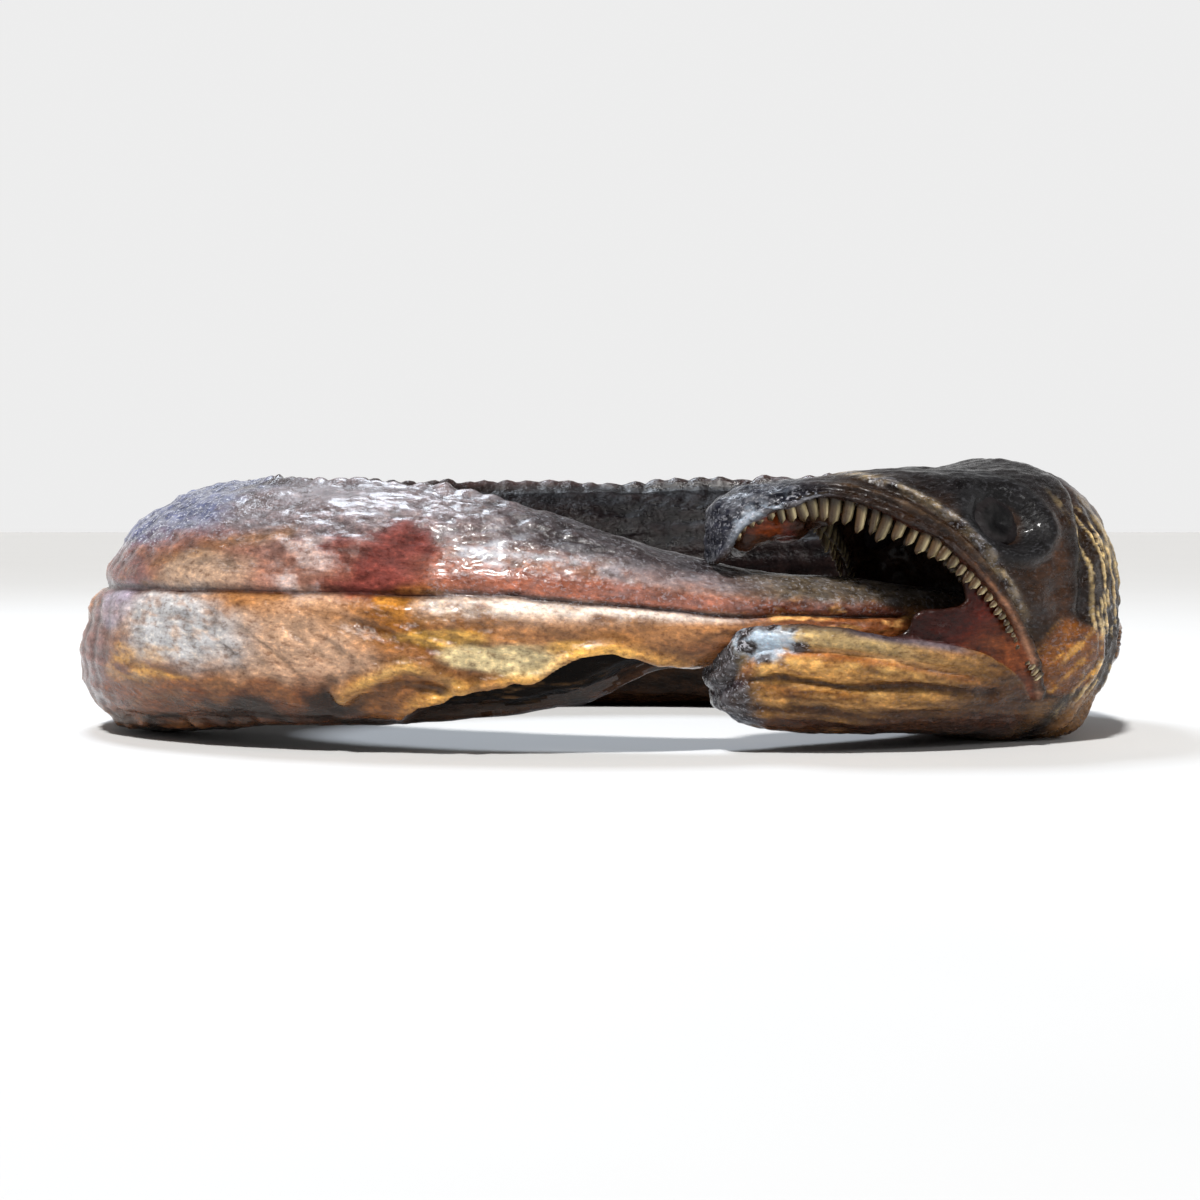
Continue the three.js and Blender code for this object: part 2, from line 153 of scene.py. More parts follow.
def lattice(x, y, z, seed):
    """A repeatable number from -1 to 1 at each whole point of a lattice."""
    key = x * 374761393 + y * 668265263 + z * 1442695041 + seed * 974634777
    key = key & 0xFFFFFFFF
    key = ((key ^ (key >> 13)) * 1274126177) & 0xFFFFFFFF
    key = ((key ^ (key >> 16)) * 2246822519) & 0xFFFFFFFF
    return (key ^ (key >> 15)) / 2147483647.5 - 1


def noise(seed, *coordinates):
    """Smooth noise from about -1 to 1, with lumps one unit wide, in up to three coordinates."""
    parts = [np.asarray(c, float) for c in coordinates]
    while len(parts) < 3:
        parts.append(np.zeros_like(parts[0]))
    parts = np.broadcast_arrays(*parts)
    cells = [np.floor(p).astype(np.int64) for p in parts]
    fade = [(p - c) ** 3 * ((p - c) * (6 * (p - c) - 15) + 10) for p, c in zip(parts, cells)]
    total = 0
    for corner in range(8):
        step = [(corner >> axis) & 1 for axis in range(3)]
        weight = 1
        for axis in range(3):
            weight = weight * (fade[axis] if step[axis] else 1 - fade[axis])
        total = total + weight * lattice(*[cells[axis] + step[axis] for axis in range(3)], seed)
    return total


def rough(seed, octaves, *coordinates):
    """Noise of several sizes, each half as wide and half as strong as the last."""
    total = 0
    for octave in range(octaves):
        scale = 2.0**octave
        total = total + noise(seed + octave, *[np.asarray(c) * scale for c in coordinates]) / scale
    return total


# ---- The ring --------------------------------------------------------------------------------------

AHEAD_DEG, ROUND_DEG, STEP_DEG = 12, 418, 0.5
TURNS = np.radians(np.arange(SNOUT_DEG - AHEAD_DEG, SNOUT_DEG + ROUND_DEG, STEP_DEG))
LENGTHS = run_length(RING_HALF_LENGTH * np.cos(TURNS), RING_HALF_DEPTH * np.sin(TURNS))
LENGTHS = LENGTHS - np.interp(math.radians(SNOUT_DEG), TURNS, LENGTHS)


def bend(points):
    """Fish coordinates to the ring's, both in millimetres, with what meets the floor pressed flat."""
    u, w, h = points.T
    turn = np.interp(u, LENGTHS, TURNS)
    out_x, out_y = np.cos(turn) / RING_HALF_LENGTH, np.sin(turn) / RING_HALF_DEPTH
    size = np.hypot(out_x, out_y)
    roll = np.radians(along(SEAT, ROLL, u))
    across = w * np.cos(roll) - h * np.sin(roll)
    return np.column_stack([
        RING_CENTRE[0] + RING_HALF_LENGTH * np.cos(turn) + out_x / size * across,
        RING_CENTRE[1] + RING_HALF_DEPTH * np.sin(turn) + out_y / size * across,
        smooth_max(height_of(u, w, h), 0, 0.8),
    ])


def sharpness(u, h):
    """How sharp the ridge and the keel are: the section is a leaf, boxier in the head."""
    head = smooth(u, 90, 40)
    rear = window(u, 180, 260, 300, 370)
    return np.where(h > 0, 1.12 - 0.37 * head + 0.26 * rear, 0.88 - 0.2 * head - 0.1 * rear)


def reach(u, h):
    """How far the back or the keel reaches from mid height, on h's side."""
    return np.where(h > 0, along(BODY, BACK, u), along(BODY, KEEL, u))


def flank(u, h):
    """The flank's distance from the middle plane."""
    share = np.clip(h / reach(u, h), -1, 1)
    return along(BODY, HALF, u) * (1 - share**2) ** (sharpness(u, h) / 2)


def mid(u):
    return along(SEAT, HEIGHT, u)


def height_of(u, w, h):
    """The height above the floor once the fish leans inwards."""
    roll = np.radians(along(SEAT, ROLL, u))
    return mid(u) + h * np.cos(roll) + w * np.sin(roll)


# ---- Colours, as they look on a screen: red, green and blue from 0 to 255 -----------------------------

CHARCOAL = 50, 44, 46
PAINTED_SKY_SHEEN = 78, 84, 114
GREY_MAUVE = 106, 94, 96
PINK_TAN = 150, 126, 106
ROSE_BROWN = 134, 92, 78
MAROON = 106, 52, 46
DARK_RED = 66, 26, 22
RED_BROWN = 138, 80, 60
PALE_BLOOM_REFLECTION = 168, 167, 168
ORANGE_BROWN = 152, 104, 62
GOLD = 124, 76, 24
PALE_GOLD = 208, 188, 142
BRIGHT_GOLD = 200, 152, 76
MOTTLED = 100, 58, 30
SHADE_DARK_BROWN = 10, 5, 3
PAINTED_OLIVE_HIGHLIGHT = 74, 54, 32
BARK = 52, 33, 20
SHADE_NEAR_BLACK = 6, 5, 8
PAINTED_GLINT_WHITE = 190, 190, 198

BRONZE = 30, 16, 5
LIP_RIDGE = 128, 112, 86
CHEEK_BROWN = 50, 27, 8
COVER_DARK = 16, 7, 2
STREAK_GOLD = 220, 192, 136
SHADE_BLACK = 11, 9, 10
CHEEK_GOLD = 116, 66, 10
SLATE = 26, 28, 38
JAW_GOLD = 170, 125, 68
JAW_BROWN = 48, 20, 2
JAW_CREASE = 60, 32, 18
LIP_CREAM = 162, 138, 94
LIP_RED = 116, 48, 28
MEMBRANE = 70, 18, 6
MAUVE = 88, 76, 80
FLESH = 106, 46, 16
MOUTH_SHADE = 40, 26, 18
PALATE_BROWN = 54, 31, 20
KNOB_GOLD = 118, 80, 36
IVORY = 210, 194, 152
HORN = 72, 53, 33


def linear(colour):
    """A colour as the linear values that a shader takes."""
    c = np.array(colour) / 255
    return np.where(c <= 0.04045, c / 12.92, ((c + 0.055) / 1.055) ** 2.4)


class Paint:
    """The colour of each vertex, laid on in soft coats."""

    def __init__(self, count, colour):
        self.tint = np.tile(linear(colour), (count, 1))

    def coat(self, colour, cover):
        self.blend(linear(colour), cover)

    def blend(self, tint, cover):
        """Lays on linear values, one colour or one for each vertex."""
        cover = np.clip(cover, 0, 1)[:, None]
        self.tint = self.tint * (1 - cover) + tint * cover

    def shade(self, factor):
        self.tint = self.tint * factor[:, None]


# ---- Meshes ----------------------------------------------------------------------------------------

def add_object(name, data):
    item = bpy.data.objects.new(name, data)
    bpy.context.scene.collection.objects.link(item)
    return item


def normals_of(points, faces):
    """The vertices' normals of a mesh of quads."""
    a, b, c, d = (points[faces[:, k]] for k in range(4))
    normal = np.cross(c - a, d - b)
    total = np.zeros_like(points)
    for k in range(4):
        np.add.at(total, faces[:, k], normal)
    return total / np.maximum(np.linalg.norm(total, axis=1, keepdims=True), 1e-12)


def grid_faces(rows, columns):
    """The quads of a grid of points that is closed round its columns."""
    row = np.arange(rows - 1)[:, None] * columns
    column = np.arange(columns)[None, :]
    following = (column + 1) % columns
    quads = [row + column, row + following, row + columns + following, row + columns + column]
    return np.stack(quads, axis=-1).reshape(-1, 4)


def closed_tube(points, rows, columns):
    """The faces of a grid closed round its columns, with a fan of triangles to close each end."""
    first, last = points[:columns].mean(axis=0), points[-columns:].mean(axis=0)
    start = (rows - 1) * columns
    faces = grid_faces(rows, columns).tolist()
    for j in range(columns):
        following = (j + 1) % columns
        faces.append([following, j, rows * columns])
        faces.append([start + j, start + following, rows * columns + 1])
    return np.vstack([points, first, last]), faces


def make_piece(name, points, faces, tint, materials, wet=0.5, painted_glints=0.0, material_of_face=0):
    """A piece in fish coordinates, bent round the ring, with its looks as attributes of its vertices.

    Wet is how glossy it is and the glint share how much painted glint and painted sheen it has, both from 0
    to 1.
    The bend mirrors the piece, so its faces are turned round as well.
    """
    mesh = bpy.data.meshes.new(name)
    mesh.from_pydata((bend(points) * MM).tolist(), [], [list(face)[::-1] for face in faces])
    for material in materials:
        mesh.materials.append(material)
    which = np.broadcast_to(material_of_face, len(faces)).astype(np.int32)
    mesh.polygons.foreach_set("material_index", which)
    mesh.validate()
    mesh.shade_smooth()
    rgba = np.column_stack([np.clip(tint, 0, 1), np.ones(len(points))])
    for title, kind, key, values in (
        ("flat", "FLOAT_VECTOR", "vector", points),
        ("tint", "FLOAT_COLOR", "color", rgba),
        ("wet", "FLOAT", "value", np.broadcast_to(wet, len(points))),
        ("painted_glints", "FLOAT", "value", np.broadcast_to(painted_glints, len(points))),
    ):
        layer = mesh.attributes.new(title, kind, "POINT")
        layer.data.foreach_set(key, values.astype(np.float32).ravel())
    piece = add_object(name, mesh)
    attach(piece, "root")
    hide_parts("smoked_fish")


# ---- Materials -------------------------------------------------------------------------------------

class Nodes:
    """A short way to build a material's nodes."""

    def __init__(self, name):
        self.material = bpy.data.materials.new(name)
        self.material.use_nodes = True
        self.tree = self.material.node_tree
        self.shader = self.tree.nodes["Principled BSDF"]

    def set(self, socket, value):
        """Gives a socket a constant, or links another node's output to it."""
        if isinstance(value, bpy.types.NodeSocket):
            self.tree.links.new(value, socket)
        else:
            socket.default_value = value

    def new(self, kind, inputs=(), **settings):
        node = self.tree.nodes.new(kind)
        for key, value in settings.items():
            setattr(node, key, value)
        for key, value in dict(inputs).items():
            self.set(node.inputs[key], value)
        return node

    def attribute(self, name, output):
        return self.new("ShaderNodeAttribute", attribute_name=name).outputs[output]

    def math(self, operation, a, b):
        return self.new("ShaderNodeMath", {0: a, 1: b}, operation=operation).outputs[0]

    def place(self, stretch):
        """Fish coordinates, scaled by stretch."""
        flat = self.attribute("flat", "Vector")
        return self.new("ShaderNodeVectorMath", {0: flat, 1: stretch}, operation="MULTIPLY").outputs[0]

    def noise(self, scale, stretch=(1, 1, 1), detail=3.0, roughness=0.55, distortion=0.0):
        """Noise with lumps about 1/scale mm wide."""
        settings = {"Vector": self.place(stretch), "Scale": scale, "Detail": detail,
                    "Roughness": roughness, "Distortion": distortion}
        return self.new("ShaderNodeTexNoise", settings).outputs["Fac"]

    def cells(self, scale, stretch):
        """Rounded cells about 1/scale mm wide."""
        settings = {"Vector": self.place(stretch), "Scale": scale}
        return self.new("ShaderNodeTexVoronoi", settings, feature="SMOOTH_F1").outputs["Distance"]

    def remap(self, value, low, high, to_low, to_high):
        settings = {"Value": value, "From Min": low, "From Max": high, "To Min": to_low, "To Max": to_high}
        return self.new("ShaderNodeMapRange", settings).outputs["Result"]

    def mix(self, factor, a, b, blend="MIX"):
        settings = {0: factor, 6: a, 7: b}
        return self.new("ShaderNodeMix", settings, data_type="RGBA", blend_type=blend).outputs[2]

    def bump(self, height, distance, strength, normal=None):
        settings = {"Height": height, "Distance": distance, "Strength": strength}
        if normal is not None:
            settings["Normal"] = normal
        return self.new("ShaderNodeBump", settings).outputs["Normal"]

    def finish(self, colour, roughness, normal, **constants):
        for key, value in (("Base Color", colour), ("Roughness", roughness), ("Normal", normal)):
            self.tree.links.new(value, self.shader.inputs[key])
        for key, value in constants.items():
            self.shader.inputs[key.replace("_", " ")].default_value = value
        return self.material


def skin_material(name, ior, oil):
    """Oily smoked skin: soot, scuffs and painted glints over a leathery grain, with a painted sheen, glossy
    where it is wet.
    """
    n = Nodes(name)
    along_fish = (0.4, 1, 1)
    soot = n.remap(n.noise(0.75, along_fish, 5, 0.65), 0.52, 0.70, 0.0, 0.6)
    colour = n.mix(soot, n.attribute("tint", "Color"), (0.36, 0.26, 0.20, 1), "MULTIPLY")
    grain = n.noise(1.4, (0.75, 1, 1), 4, 0.65)
    pores = n.remap(grain, 0.52, 0.66, 0.0, 0.75)
    colour = n.mix(pores, colour, (0.42, 0.33, 0.28, 1), "MULTIPLY")
    scuffs = n.remap(grain, 0.47, 0.34, 0.0, 0.75)
    colour = n.mix(scuffs, colour, (1.8, 1.7, 1.55, 1), "MULTIPLY")
    # Painted sheen and painted glints: a pale colour mixed in as far as the vertices' glint share asks.
    painted_sheen = n.remap(n.noise(0.55, (0.5, 1, 1), 4, 0.65), 0.46, 0.70, 0.0, 0.4)
    glints = n.remap(n.noise(1.9, (0.8, 1, 1), 3, 0.6, 0.5), 0.54, 0.64, 0.0, 0.85)
    bright = n.math("MULTIPLY", n.math("MAXIMUM", painted_sheen, glints), n.attribute("painted_glints", "Fac"))
    colour = n.mix(bright, colour, (*linear(PAINTED_GLINT_WHITE), 1))
    dull = n.remap(n.attribute("wet", "Fac"), 0.0, 1.0, 0.46, 0.08)
    broken = n.remap(n.noise(0.7, along_fish, 4, 0.6), 0.35, 0.65, -0.1, 0.1)
    roughness = n.math("ADD", dull, broken)
    normal = n.bump(n.noise(0.42, (0.5, 1, 1), 3), 0.0006, 0.5)
    normal = n.bump(n.cells(1.3, (0.6, 1, 1)), 0.0003, 0.4, normal)
    normal = n.bump(grain, 0.0004, 0.5, normal)
    return n.finish(
        colour, roughness, normal, IOR=ior, Coat_Weight=oil, Coat_Roughness=0.12, Coat_IOR=1.45
    )


def tooth_material():
    n = Nodes("teeth")
    streaks = n.remap(n.noise(1.2, (2.2, 2.2, 0.3), 3), 0.4, 0.7, 0.0, 0.55)
    colour = n.mix(streaks, n.attribute("tint", "Color"), (0.45, 0.34, 0.22, 1), "MULTIPLY")
    roughness = n.remap(n.noise(1.5), 0.3, 0.7, 0.22, 0.45)
    normal = n.bump(n.noise(1.6, (2, 2, 0.4), 3), 0.00018, 0.8)
    return n.finish(colour, roughness, normal, IOR=1.4)


def eye_material():
    n = Nodes("shrunken_eye")
    clouds = n.remap(n.noise(0.5, (1, 1, 1), 4), 0.45, 0.7, 0.0, 0.35)
    colour = n.mix(clouds, n.attribute("tint", "Color"), (0.03, 0.027, 0.027, 1))
    roughness = n.remap(n.noise(0.8), 0.3, 0.7, 0.3, 0.55)
    normal = n.bump(n.noise(0.7, (1, 1, 1), 3), 0.0003, 0.6)
    return n.finish(colour, roughness, normal, IOR=1.25)


def floor_material():
    n = Nodes("pale_floor")
    place = n.new("ShaderNodeTexCoord").outputs["Object"]
    cloud = n.new("ShaderNodeTexNoise", {"Vector": place, "Scale": 12.0, "Detail": 2.0}).outputs["Fac"]
    colour = n.mix(cloud, (0.61, 0.61, 0.61, 1), (0.64, 0.64, 0.64, 1))
    roughness = n.remap(cloud, 0.3, 0.7, 0.7, 0.75)
    return n.finish(colour, roughness, n.bump(cloud, 0.0001, 0.1), IOR=1.4)


# ---- The skin of the body ----------------------------------------------------------------------------

# The torn, golden fold along the belly's fin on the near flank, and the loose skin ahead of it:
# u and the height above the floor.
FOLD_EDGE = [
    (322, 0), (327, 5.8), (331, 7.2), (336, 9.2), (342, 10.8), (347, 11.8), (350, 13.4), (353, 14.8),
    (357, 15.4), (360, 14.9), (364, 14), (368, 13.6), (372, 13.2),
]
ARCH = [(319, 9), (325, 12.4), (328.5, 14), (332, 13), (336, 11)]
# The wrinkled band above the groove, painted pale as a highlight: u and the height of its middle.
HIGHLIGHT_BAND = [(316, 33.5), (329, 32.6), (342, 30.6), (354, 28.8), (366, 26.6), (378, 25.4)]
# A thin olive line in the tan flank.
OLIVE_LINE = [(286, 29), (299, 32.4), (309, 33.6)]


def gill_past(u, level):
    """How far u is behind the gill cover's bowed rim, and where the nape is, over which it fades."""
    rim = GILL_RIM - GILL_BOW * (1 - np.sqrt(1 - level**2))
    rim += 0.8 * noise(57, 2.2 * level) + 0.35 * noise(58, 7 * level)
    return u - rim, smooth(level, 0.5, 0.9)


def fold_edge(u):
    """The height of the torn fold's edge."""
    ragged = 0.6 * noise(61, u / 4.6) + 0.3 * noise(62, u / 1.7)
    return along(FOLD_EDGE, 1, u) + ragged * window(u, 324, 330, 366, 372)


def lateral_groove(u, level, h):
    """How far a point is from the groove along the lateral line, and how much of it shows there."""
    wander = 0.45 * noise(11, u / 11) + 0.2 * noise(12, u / 3.5)
    return np.abs(level * reach(u, h) - wander), window(u, 74, 110, 392, 412)


def segment_lines(u, level, h):
    """The lines between the muscle segments, from 0 to 1: chevrons that point at the head."""
    slant = 9 * np.abs(level) ** 0.8 - 5 * smooth(np.abs(level), 0.75, 1)
    place = (u - slant) / 4.4 + 0.5 * noise(13, u / 17, h / 8)
    from_line = np.abs(place - np.floor(place) - 0.5) * 4.4
    showing = 0.25 + 0.75 * smooth(rough(17, 2, u / 16, h / 9), -0.5, 0.3)
    reached = window(u, 72, 92, 330, 380) * (1 - 0.75 * smooth(u, 262, 285))
    return bump(from_line, 0, 0.8) * showing * reached * smooth(np.abs(level), 0.05, 0.16)


def body_relief(u, turn, w, h):
    """How far the skin stands out from the plain section: lobes, wrinkles, fins' stumps and cuts."""
    near = np.cos(turn)
    level = np.sin(turn)
    outside = smooth(near, -0.1, 0.1)
    z = height_of(u, w, h)
    # The gill slit, under the cover's rim, cut half a millimetre deeper than in the solid.
    past, nape = gill_past(u, level)
    out = -(GILL_SLIT + 0.5) * smooth(past, 4.5, 1) * (1 - nape) - 1.2 * smooth(past, 14, 2) * nape
    # The groove of the lateral line, a sharp crease between two lobes.
    crease, shown = lateral_groove(u, level, h)
    out += shown * (0.35 * bump(crease, 2.6, 1.6) - 0.9 * np.exp(-crease / 2.2) - 0.6 * bump(crease, 0, 0.42))
    # Muscle segments, as chevrons, and lumps and wrinkles that run along the fish.
    out -= 0.42 * segment_lines(u, level, h) * (0.35 + 0.65 * outside)
    ridged = 1 - 2 * np.abs(noise(15, u / 19, w / 3.4, h / 3.4))
    out += 0.30 * ridged * smooth(u, 70, 100) * (1 - 0.7 * smooth(u, 262, 290) * outside)
    out += 0.42 * rough(21, 2, u / 15, w / 9, h / 9)
    out += 0.20 * rough(25, 3, u / 6.5, w / 2.6, h / 2.6)
    leathery = smooth(rough(29, 2, u / 24, w / 10, h / 8), -0.15, 0.4)
    out += 0.16 * leathery * rough(31, 2, u / 2.6, w / 0.95, h / 0.95)
    # The wet, wrinkled stretch above the groove, ahead of the tail.
    wrinkled = bump(u, 344, 24) * smooth(level, 0.05, 0.3) * outside
    out += 0.22 * wrinkled * rough(35, 3, u / 2.2, w / 1.2, h / 1.2)
    # Creases that run down the golden flank.
    flank_low = bump(level, -0.45, 0.3) * bump(u, 318, 18) * outside
    ridges = np.abs(noise(41, (u + 1.4 * h) / 6.5, h / 9))
    out -= 0.4 * flank_low * smooth(ridges, 0.35, 0)
    # Glossy wrinkles that slope down the golden skin ahead of the torn edge.
    golden = bump(u, 334, 14) * window(z, 14.5, 17.5, 20, 24) * outside
    out += 0.38 * golden * (1 - 2.2 * np.abs(noise(37, u / 13, (z + u / 3) / 1.9)))
    # A loose fold of skin that arches over the golden flank, ahead of the torn edge.
    from_arch = distance_to(ARCH, u, z)
    out += outside * (0.9 * bump(from_arch, 0, 1.5) - 0.7 * bump(from_arch, 2.2, 1.0) * smooth(z, 14, 9))
    # The knobbly stumps of the back fin and of the belly's fin.
    knobs = 0.35 + 0.5 * smooth(rough(43, 2, u / 3.1), -0.3, 0.9) + 0.5 * np.abs(np.sin(math.pi * u / 4.2))
    ridge = smooth(level, 0.5, 0.8) * bump(w, 0.5 * np.sin(u / 9), 1.25)
    out += (0.5 + knobs) * window(u, 106, 124, 330, 352) * ridge
    keel = smooth(-level, 0.6, 0.85) * bump(w, 0.5 * np.sin(u / 8), 1.4)
    out += 0.9 * knobs * window(u, 182, 196, 300, 320) * keel
    # The slit through which the fish was cleaned, with raised lips.
    cut = window(u, 78, 96, 152, 170) * smooth(-level, 0.6, 0.8)
    from_cut = np.abs(w - 0.6 * np.sin(u / 11) - 0.4 * noise(45, u / 5))
    out += cut * (0.7 * bump(from_cut, 2.6, 1.1) - 3.2 * bump(from_cut, 0, 0.95))
    # Below the torn fold the belly's underside draws back.
    lip = fold_edge(u)
    under = window(u, 324, 331, 368, 376) * smooth(near, -0.25, 0.1)
    return out + under * (0.9 * bump(z - lip, 0.9, 1.0) - 2.3 * smooth(lip - z, -0.2, 0.7))


def skin_colours(paint, u, w, h, turn):
    """The body's colours, by level round the section and by patches along it.

    Gives back how much painted glint the skin has, and how wet and how dry it is; dry skin has no oil on it.
    """
    coat = paint.coat
    level = np.sin(turn)
    z = height_of(u, w, h)
    ragged = 0.3 * smooth(-level, 0.7, 0.95) * rough(91, 3, u / 8, w / 3)
    outside = smooth(np.cos(turn) + ragged, -0.2, 0.15)
    fine = 0.5 + 0.5 * rough(75, 3, u / 3.2, w / 1.4, h / 1.4)
    s = level + 0.10 * rough(71, 3, u / 11, w / 6, h / 6)
    coat(ORANGE_BROWN, smooth(s, 0.03, -0.03))
    coat(MOTTLED, smooth(s, -0.4, -0.75) * (0.45 + 0.5 * fine))
    coat(ROSE_BROWN, smooth(s, 0.02, 0.06) * 0.8)
    coat(GREY_MAUVE, smooth(s, 0.2, 0.6) * 0.85)
    coat(CHARCOAL, smooth(s, 0.6, 0.95) * 0.85)
    # The far part of the ring is darker and browner, with gold only low on its flank.
    far = window(u, 60, 80, 236, 262) * outside
    blotch = 0.5 + 0.5 * rough(73, 2, u / 24, h / 9)
    stained = smooth(rough(69, 3, u / 13, w / 7, h / 6), 0.0, 0.6)
    coat((92, 44, 34), far * smooth(s, 0.0, 0.25) * 0.85)
    coat(CHARCOAL, far * smooth(s + 0.5 * (blotch - 0.5), 0.3, 0.75) * 0.85)
    coat((112, 66, 36), far * smooth(s, 0.05, -0.1) * 0.6)
    coat((72, 36, 20), far * smooth(s, 0.0, -0.15) * stained * 0.75)
    coat((172, 122, 62), far * bump(s, -0.28, 0.26) * smooth(fine + blotch, 0.7, 1.5) * 0.8)
    coat(BARK, far * smooth(s, -0.35, -0.8) * (0.3 + 0.6 * fine))
    # The inside of the ring is bark brown under painted shade: nearly black above and very dark brown below.
    inside = 1 - outside
    coat(BARK, inside * 0.8)
    # Painted shade over the inside of the ring.
    coat(SHADE_NEAR_BLACK, inside * smooth(s, -0.7, -0.2) * (0.97 - 0.1 * fine))
    coat(SHADE_DARK_BROWN, inside * smooth(s, -0.2, -0.6) * (0.95 - 0.3 * fine))

    def patch(colour, u_mid, u_half, z_mid, z_half, strength):
        edge = 0.35 * rough(79, 3, u / 7, w / 4, h / 4)
        size = np.hypot((u - u_mid) / u_half, (z - z_mid) / z_half) + edge
        cover = smooth(size, 1.2, 0.6) * strength * outside
        coat(colour, cover)
        return cover

    # Above the groove: a back with a painted blue-grey sheen on it, a tan flank, and a maroon patch.
    groove = smooth(level, 0.0, 0.05)
    patch(GREY_MAUVE, 312, 36, 37, 5, 0.85)
    # A painted blue-grey sheen, a reflection of the sky, on the back.
    blue = patch(PAINTED_SKY_SHEEN, 276, 21, 36.5, 7.5, 0.95)
    patch((98, 64, 60), 278, 12, 27, 5, 1.1 * smooth(fine, -0.2, 0.4))
    patch((118, 76, 64), 292, 17, 31.4, 3.6, 0.75 * (0.5 + 0.5 * fine))
    patch(PINK_TAN, 297, 12, 27.8, 3.6, 0.9)
    coat((132, 94, 52), bump(distance_to(OLIVE_LINE, u, z), 0, 1.2) * outside * (0.3 + 0.5 * fine))
    coat(ROSE_BROWN, bump(u, 311, 7) * smooth(z, 33, 30) * groove * outside * 0.8)
    # Pale pink wrinkles beside the maroon patch: pink skin with a painted highlight on it.
    pink = patch((164, 144, 138), 312, 7, 28.6, 4.2, 0.85 * smooth(fine, 0.4, 0.75))
    maroon = patch(MAROON, 324.5, 8.5, 29.2, 6, 1.0)
    # The wrinkled band towards the tail, painted pale as a highlight, dark above it and red-brown below.
    from_highlight_band = z - along(HIGHLIGHT_BAND, 1, u)
    band = bump(from_highlight_band, 0, 2.1) * smooth(u, 329, 334) * (1 - 0.7 * smooth(u, 350, 366)) * outside
    cloudy = smooth(rough(85, 3, u / 3.4, w / 1.5, h / 1.5), -0.35, 0.5)
    coat((150, 148, 154), band * cloudy)
    # A brighter cloud in the band, also a painted highlight.
    cloud = patch((176, 176, 184), 339.5, 6.5, 30.8, 3.4, 0.9 * cloudy)
    coat((40, 35, 37), smooth(from_highlight_band, 0.2, 2.4) * smooth(u, 334, 350) * outside * 0.9)
    below_highlight_band = smooth(from_highlight_band, -1.0, -2.6) * groove * smooth(u, 326, 334) * outside
    coat(RED_BROWN, below_highlight_band * 0.9)
    # Below the groove: a mottled flank with a pale patch, partly a pale bloom on the skin and partly a
    # painted reflection of a light on the left, dark and ragged at the bottom.
    patch((182, 148, 122), 310, 16, 16.5, 7, 0.85)
    stains = smooth(rough(83, 3, u / 4.5, w / 2.6, h / 2.6), 0.05, 0.6)
    coat((96, 50, 18), stains * smooth(z, 15, 7) * smooth(u, 276, 290) * outside * 0.85)
    patch((108, 78, 74), 276, 9, 13, 10, 0.95)
    # A bluish pale patch towards the groove, part of the same painted reflection.
    patch((150, 146, 164), 281, 6, 21.5, 4, 0.6)
    patch((176, 132, 70), 289, 9, 14, 5.5, 0.8 * smooth(fine, 0.2, 0.7))
    # The pale patch: pale bloom on the skin and a painted reflection.
    speckle = smooth(rough(77, 3, u / 1.6, w / 0.8, h / 0.8), -0.7, 0.1)
    off_pale = np.hypot((u - 295 + 0.4 * (z - 18)) / 11.5, (z - 18.8) / 6.6)
    off_pale += 0.16 * rough(87, 2, u / 4, z / 4)
    pale = smooth(off_pale, 1.3, 0.5) * (0.55 + 0.45 * speckle) * outside
    coat(PALE_BLOOM_REFLECTION, pale)
    patch((106, 56, 20), 302, 32, 6.0, 4.6, 0.9 * smooth(fine, 0.15, 0.55))
    low = z + 2.2 * rough(89, 3, u / 5, z / 5)
    coat((26, 12, 5), smooth(low, 10, 6) * outside * smooth(u, 284, 300) * 0.95)
    # Golden skin ahead of the torn fold, with a pale streak above it that is a painted highlight.
    patch(GOLD, 331, 10, 20, 5.5, 0.95)
    patch((184, 126, 50), 331, 6, 22.4, 2.6, 0.7 * fine)
    patch((198, 154, 72), 334, 7, 18, 1.5, 0.7)
    patch((132, 84, 40), 327, 8, 9, 3.5, 0.85)
    # The pale streak is a painted highlight.
    streak = (1 - groove) * bump(level, -0.09, 0.11) * window(u, 328, 334, 372, 384) * outside
    coat((220, 204, 190), streak * smooth(fine, -0.1, 0.45))
    patch(PALE_GOLD, 343, 9, 14.6, 2.5, 1.2)
    patch(BRIGHT_GOLD, 354, 7, 16.2, 1.4, 0.9)
    # The torn fold's bright edge, with painted shade below it and a painted olive highlight in that shade.
    coat((196, 156, 82), outside * bump(distance_to(ARCH, u, z), 0, 0.9) * (0.2 + 0.5 * fine))
    lip = fold_edge(u)
    near_fold = window(u, 325, 332, 364, 372) * outside
    coat(BRIGHT_GOLD, near_fold * bump(z - lip, 0.9, 1.1) * (0.25 + 0.5 * fine))
    below = near_fold * smooth(lip - z, -0.1, 0.5)
    # Painted shade under the torn fold, and a painted olive highlight in it.
    coat(SHADE_DARK_BROWN, below)
    coat(PAINTED_OLIVE_HIGHLIGHT, below * bump(z, 8, 2.4) * smooth(fine, 0.55, 0.95))
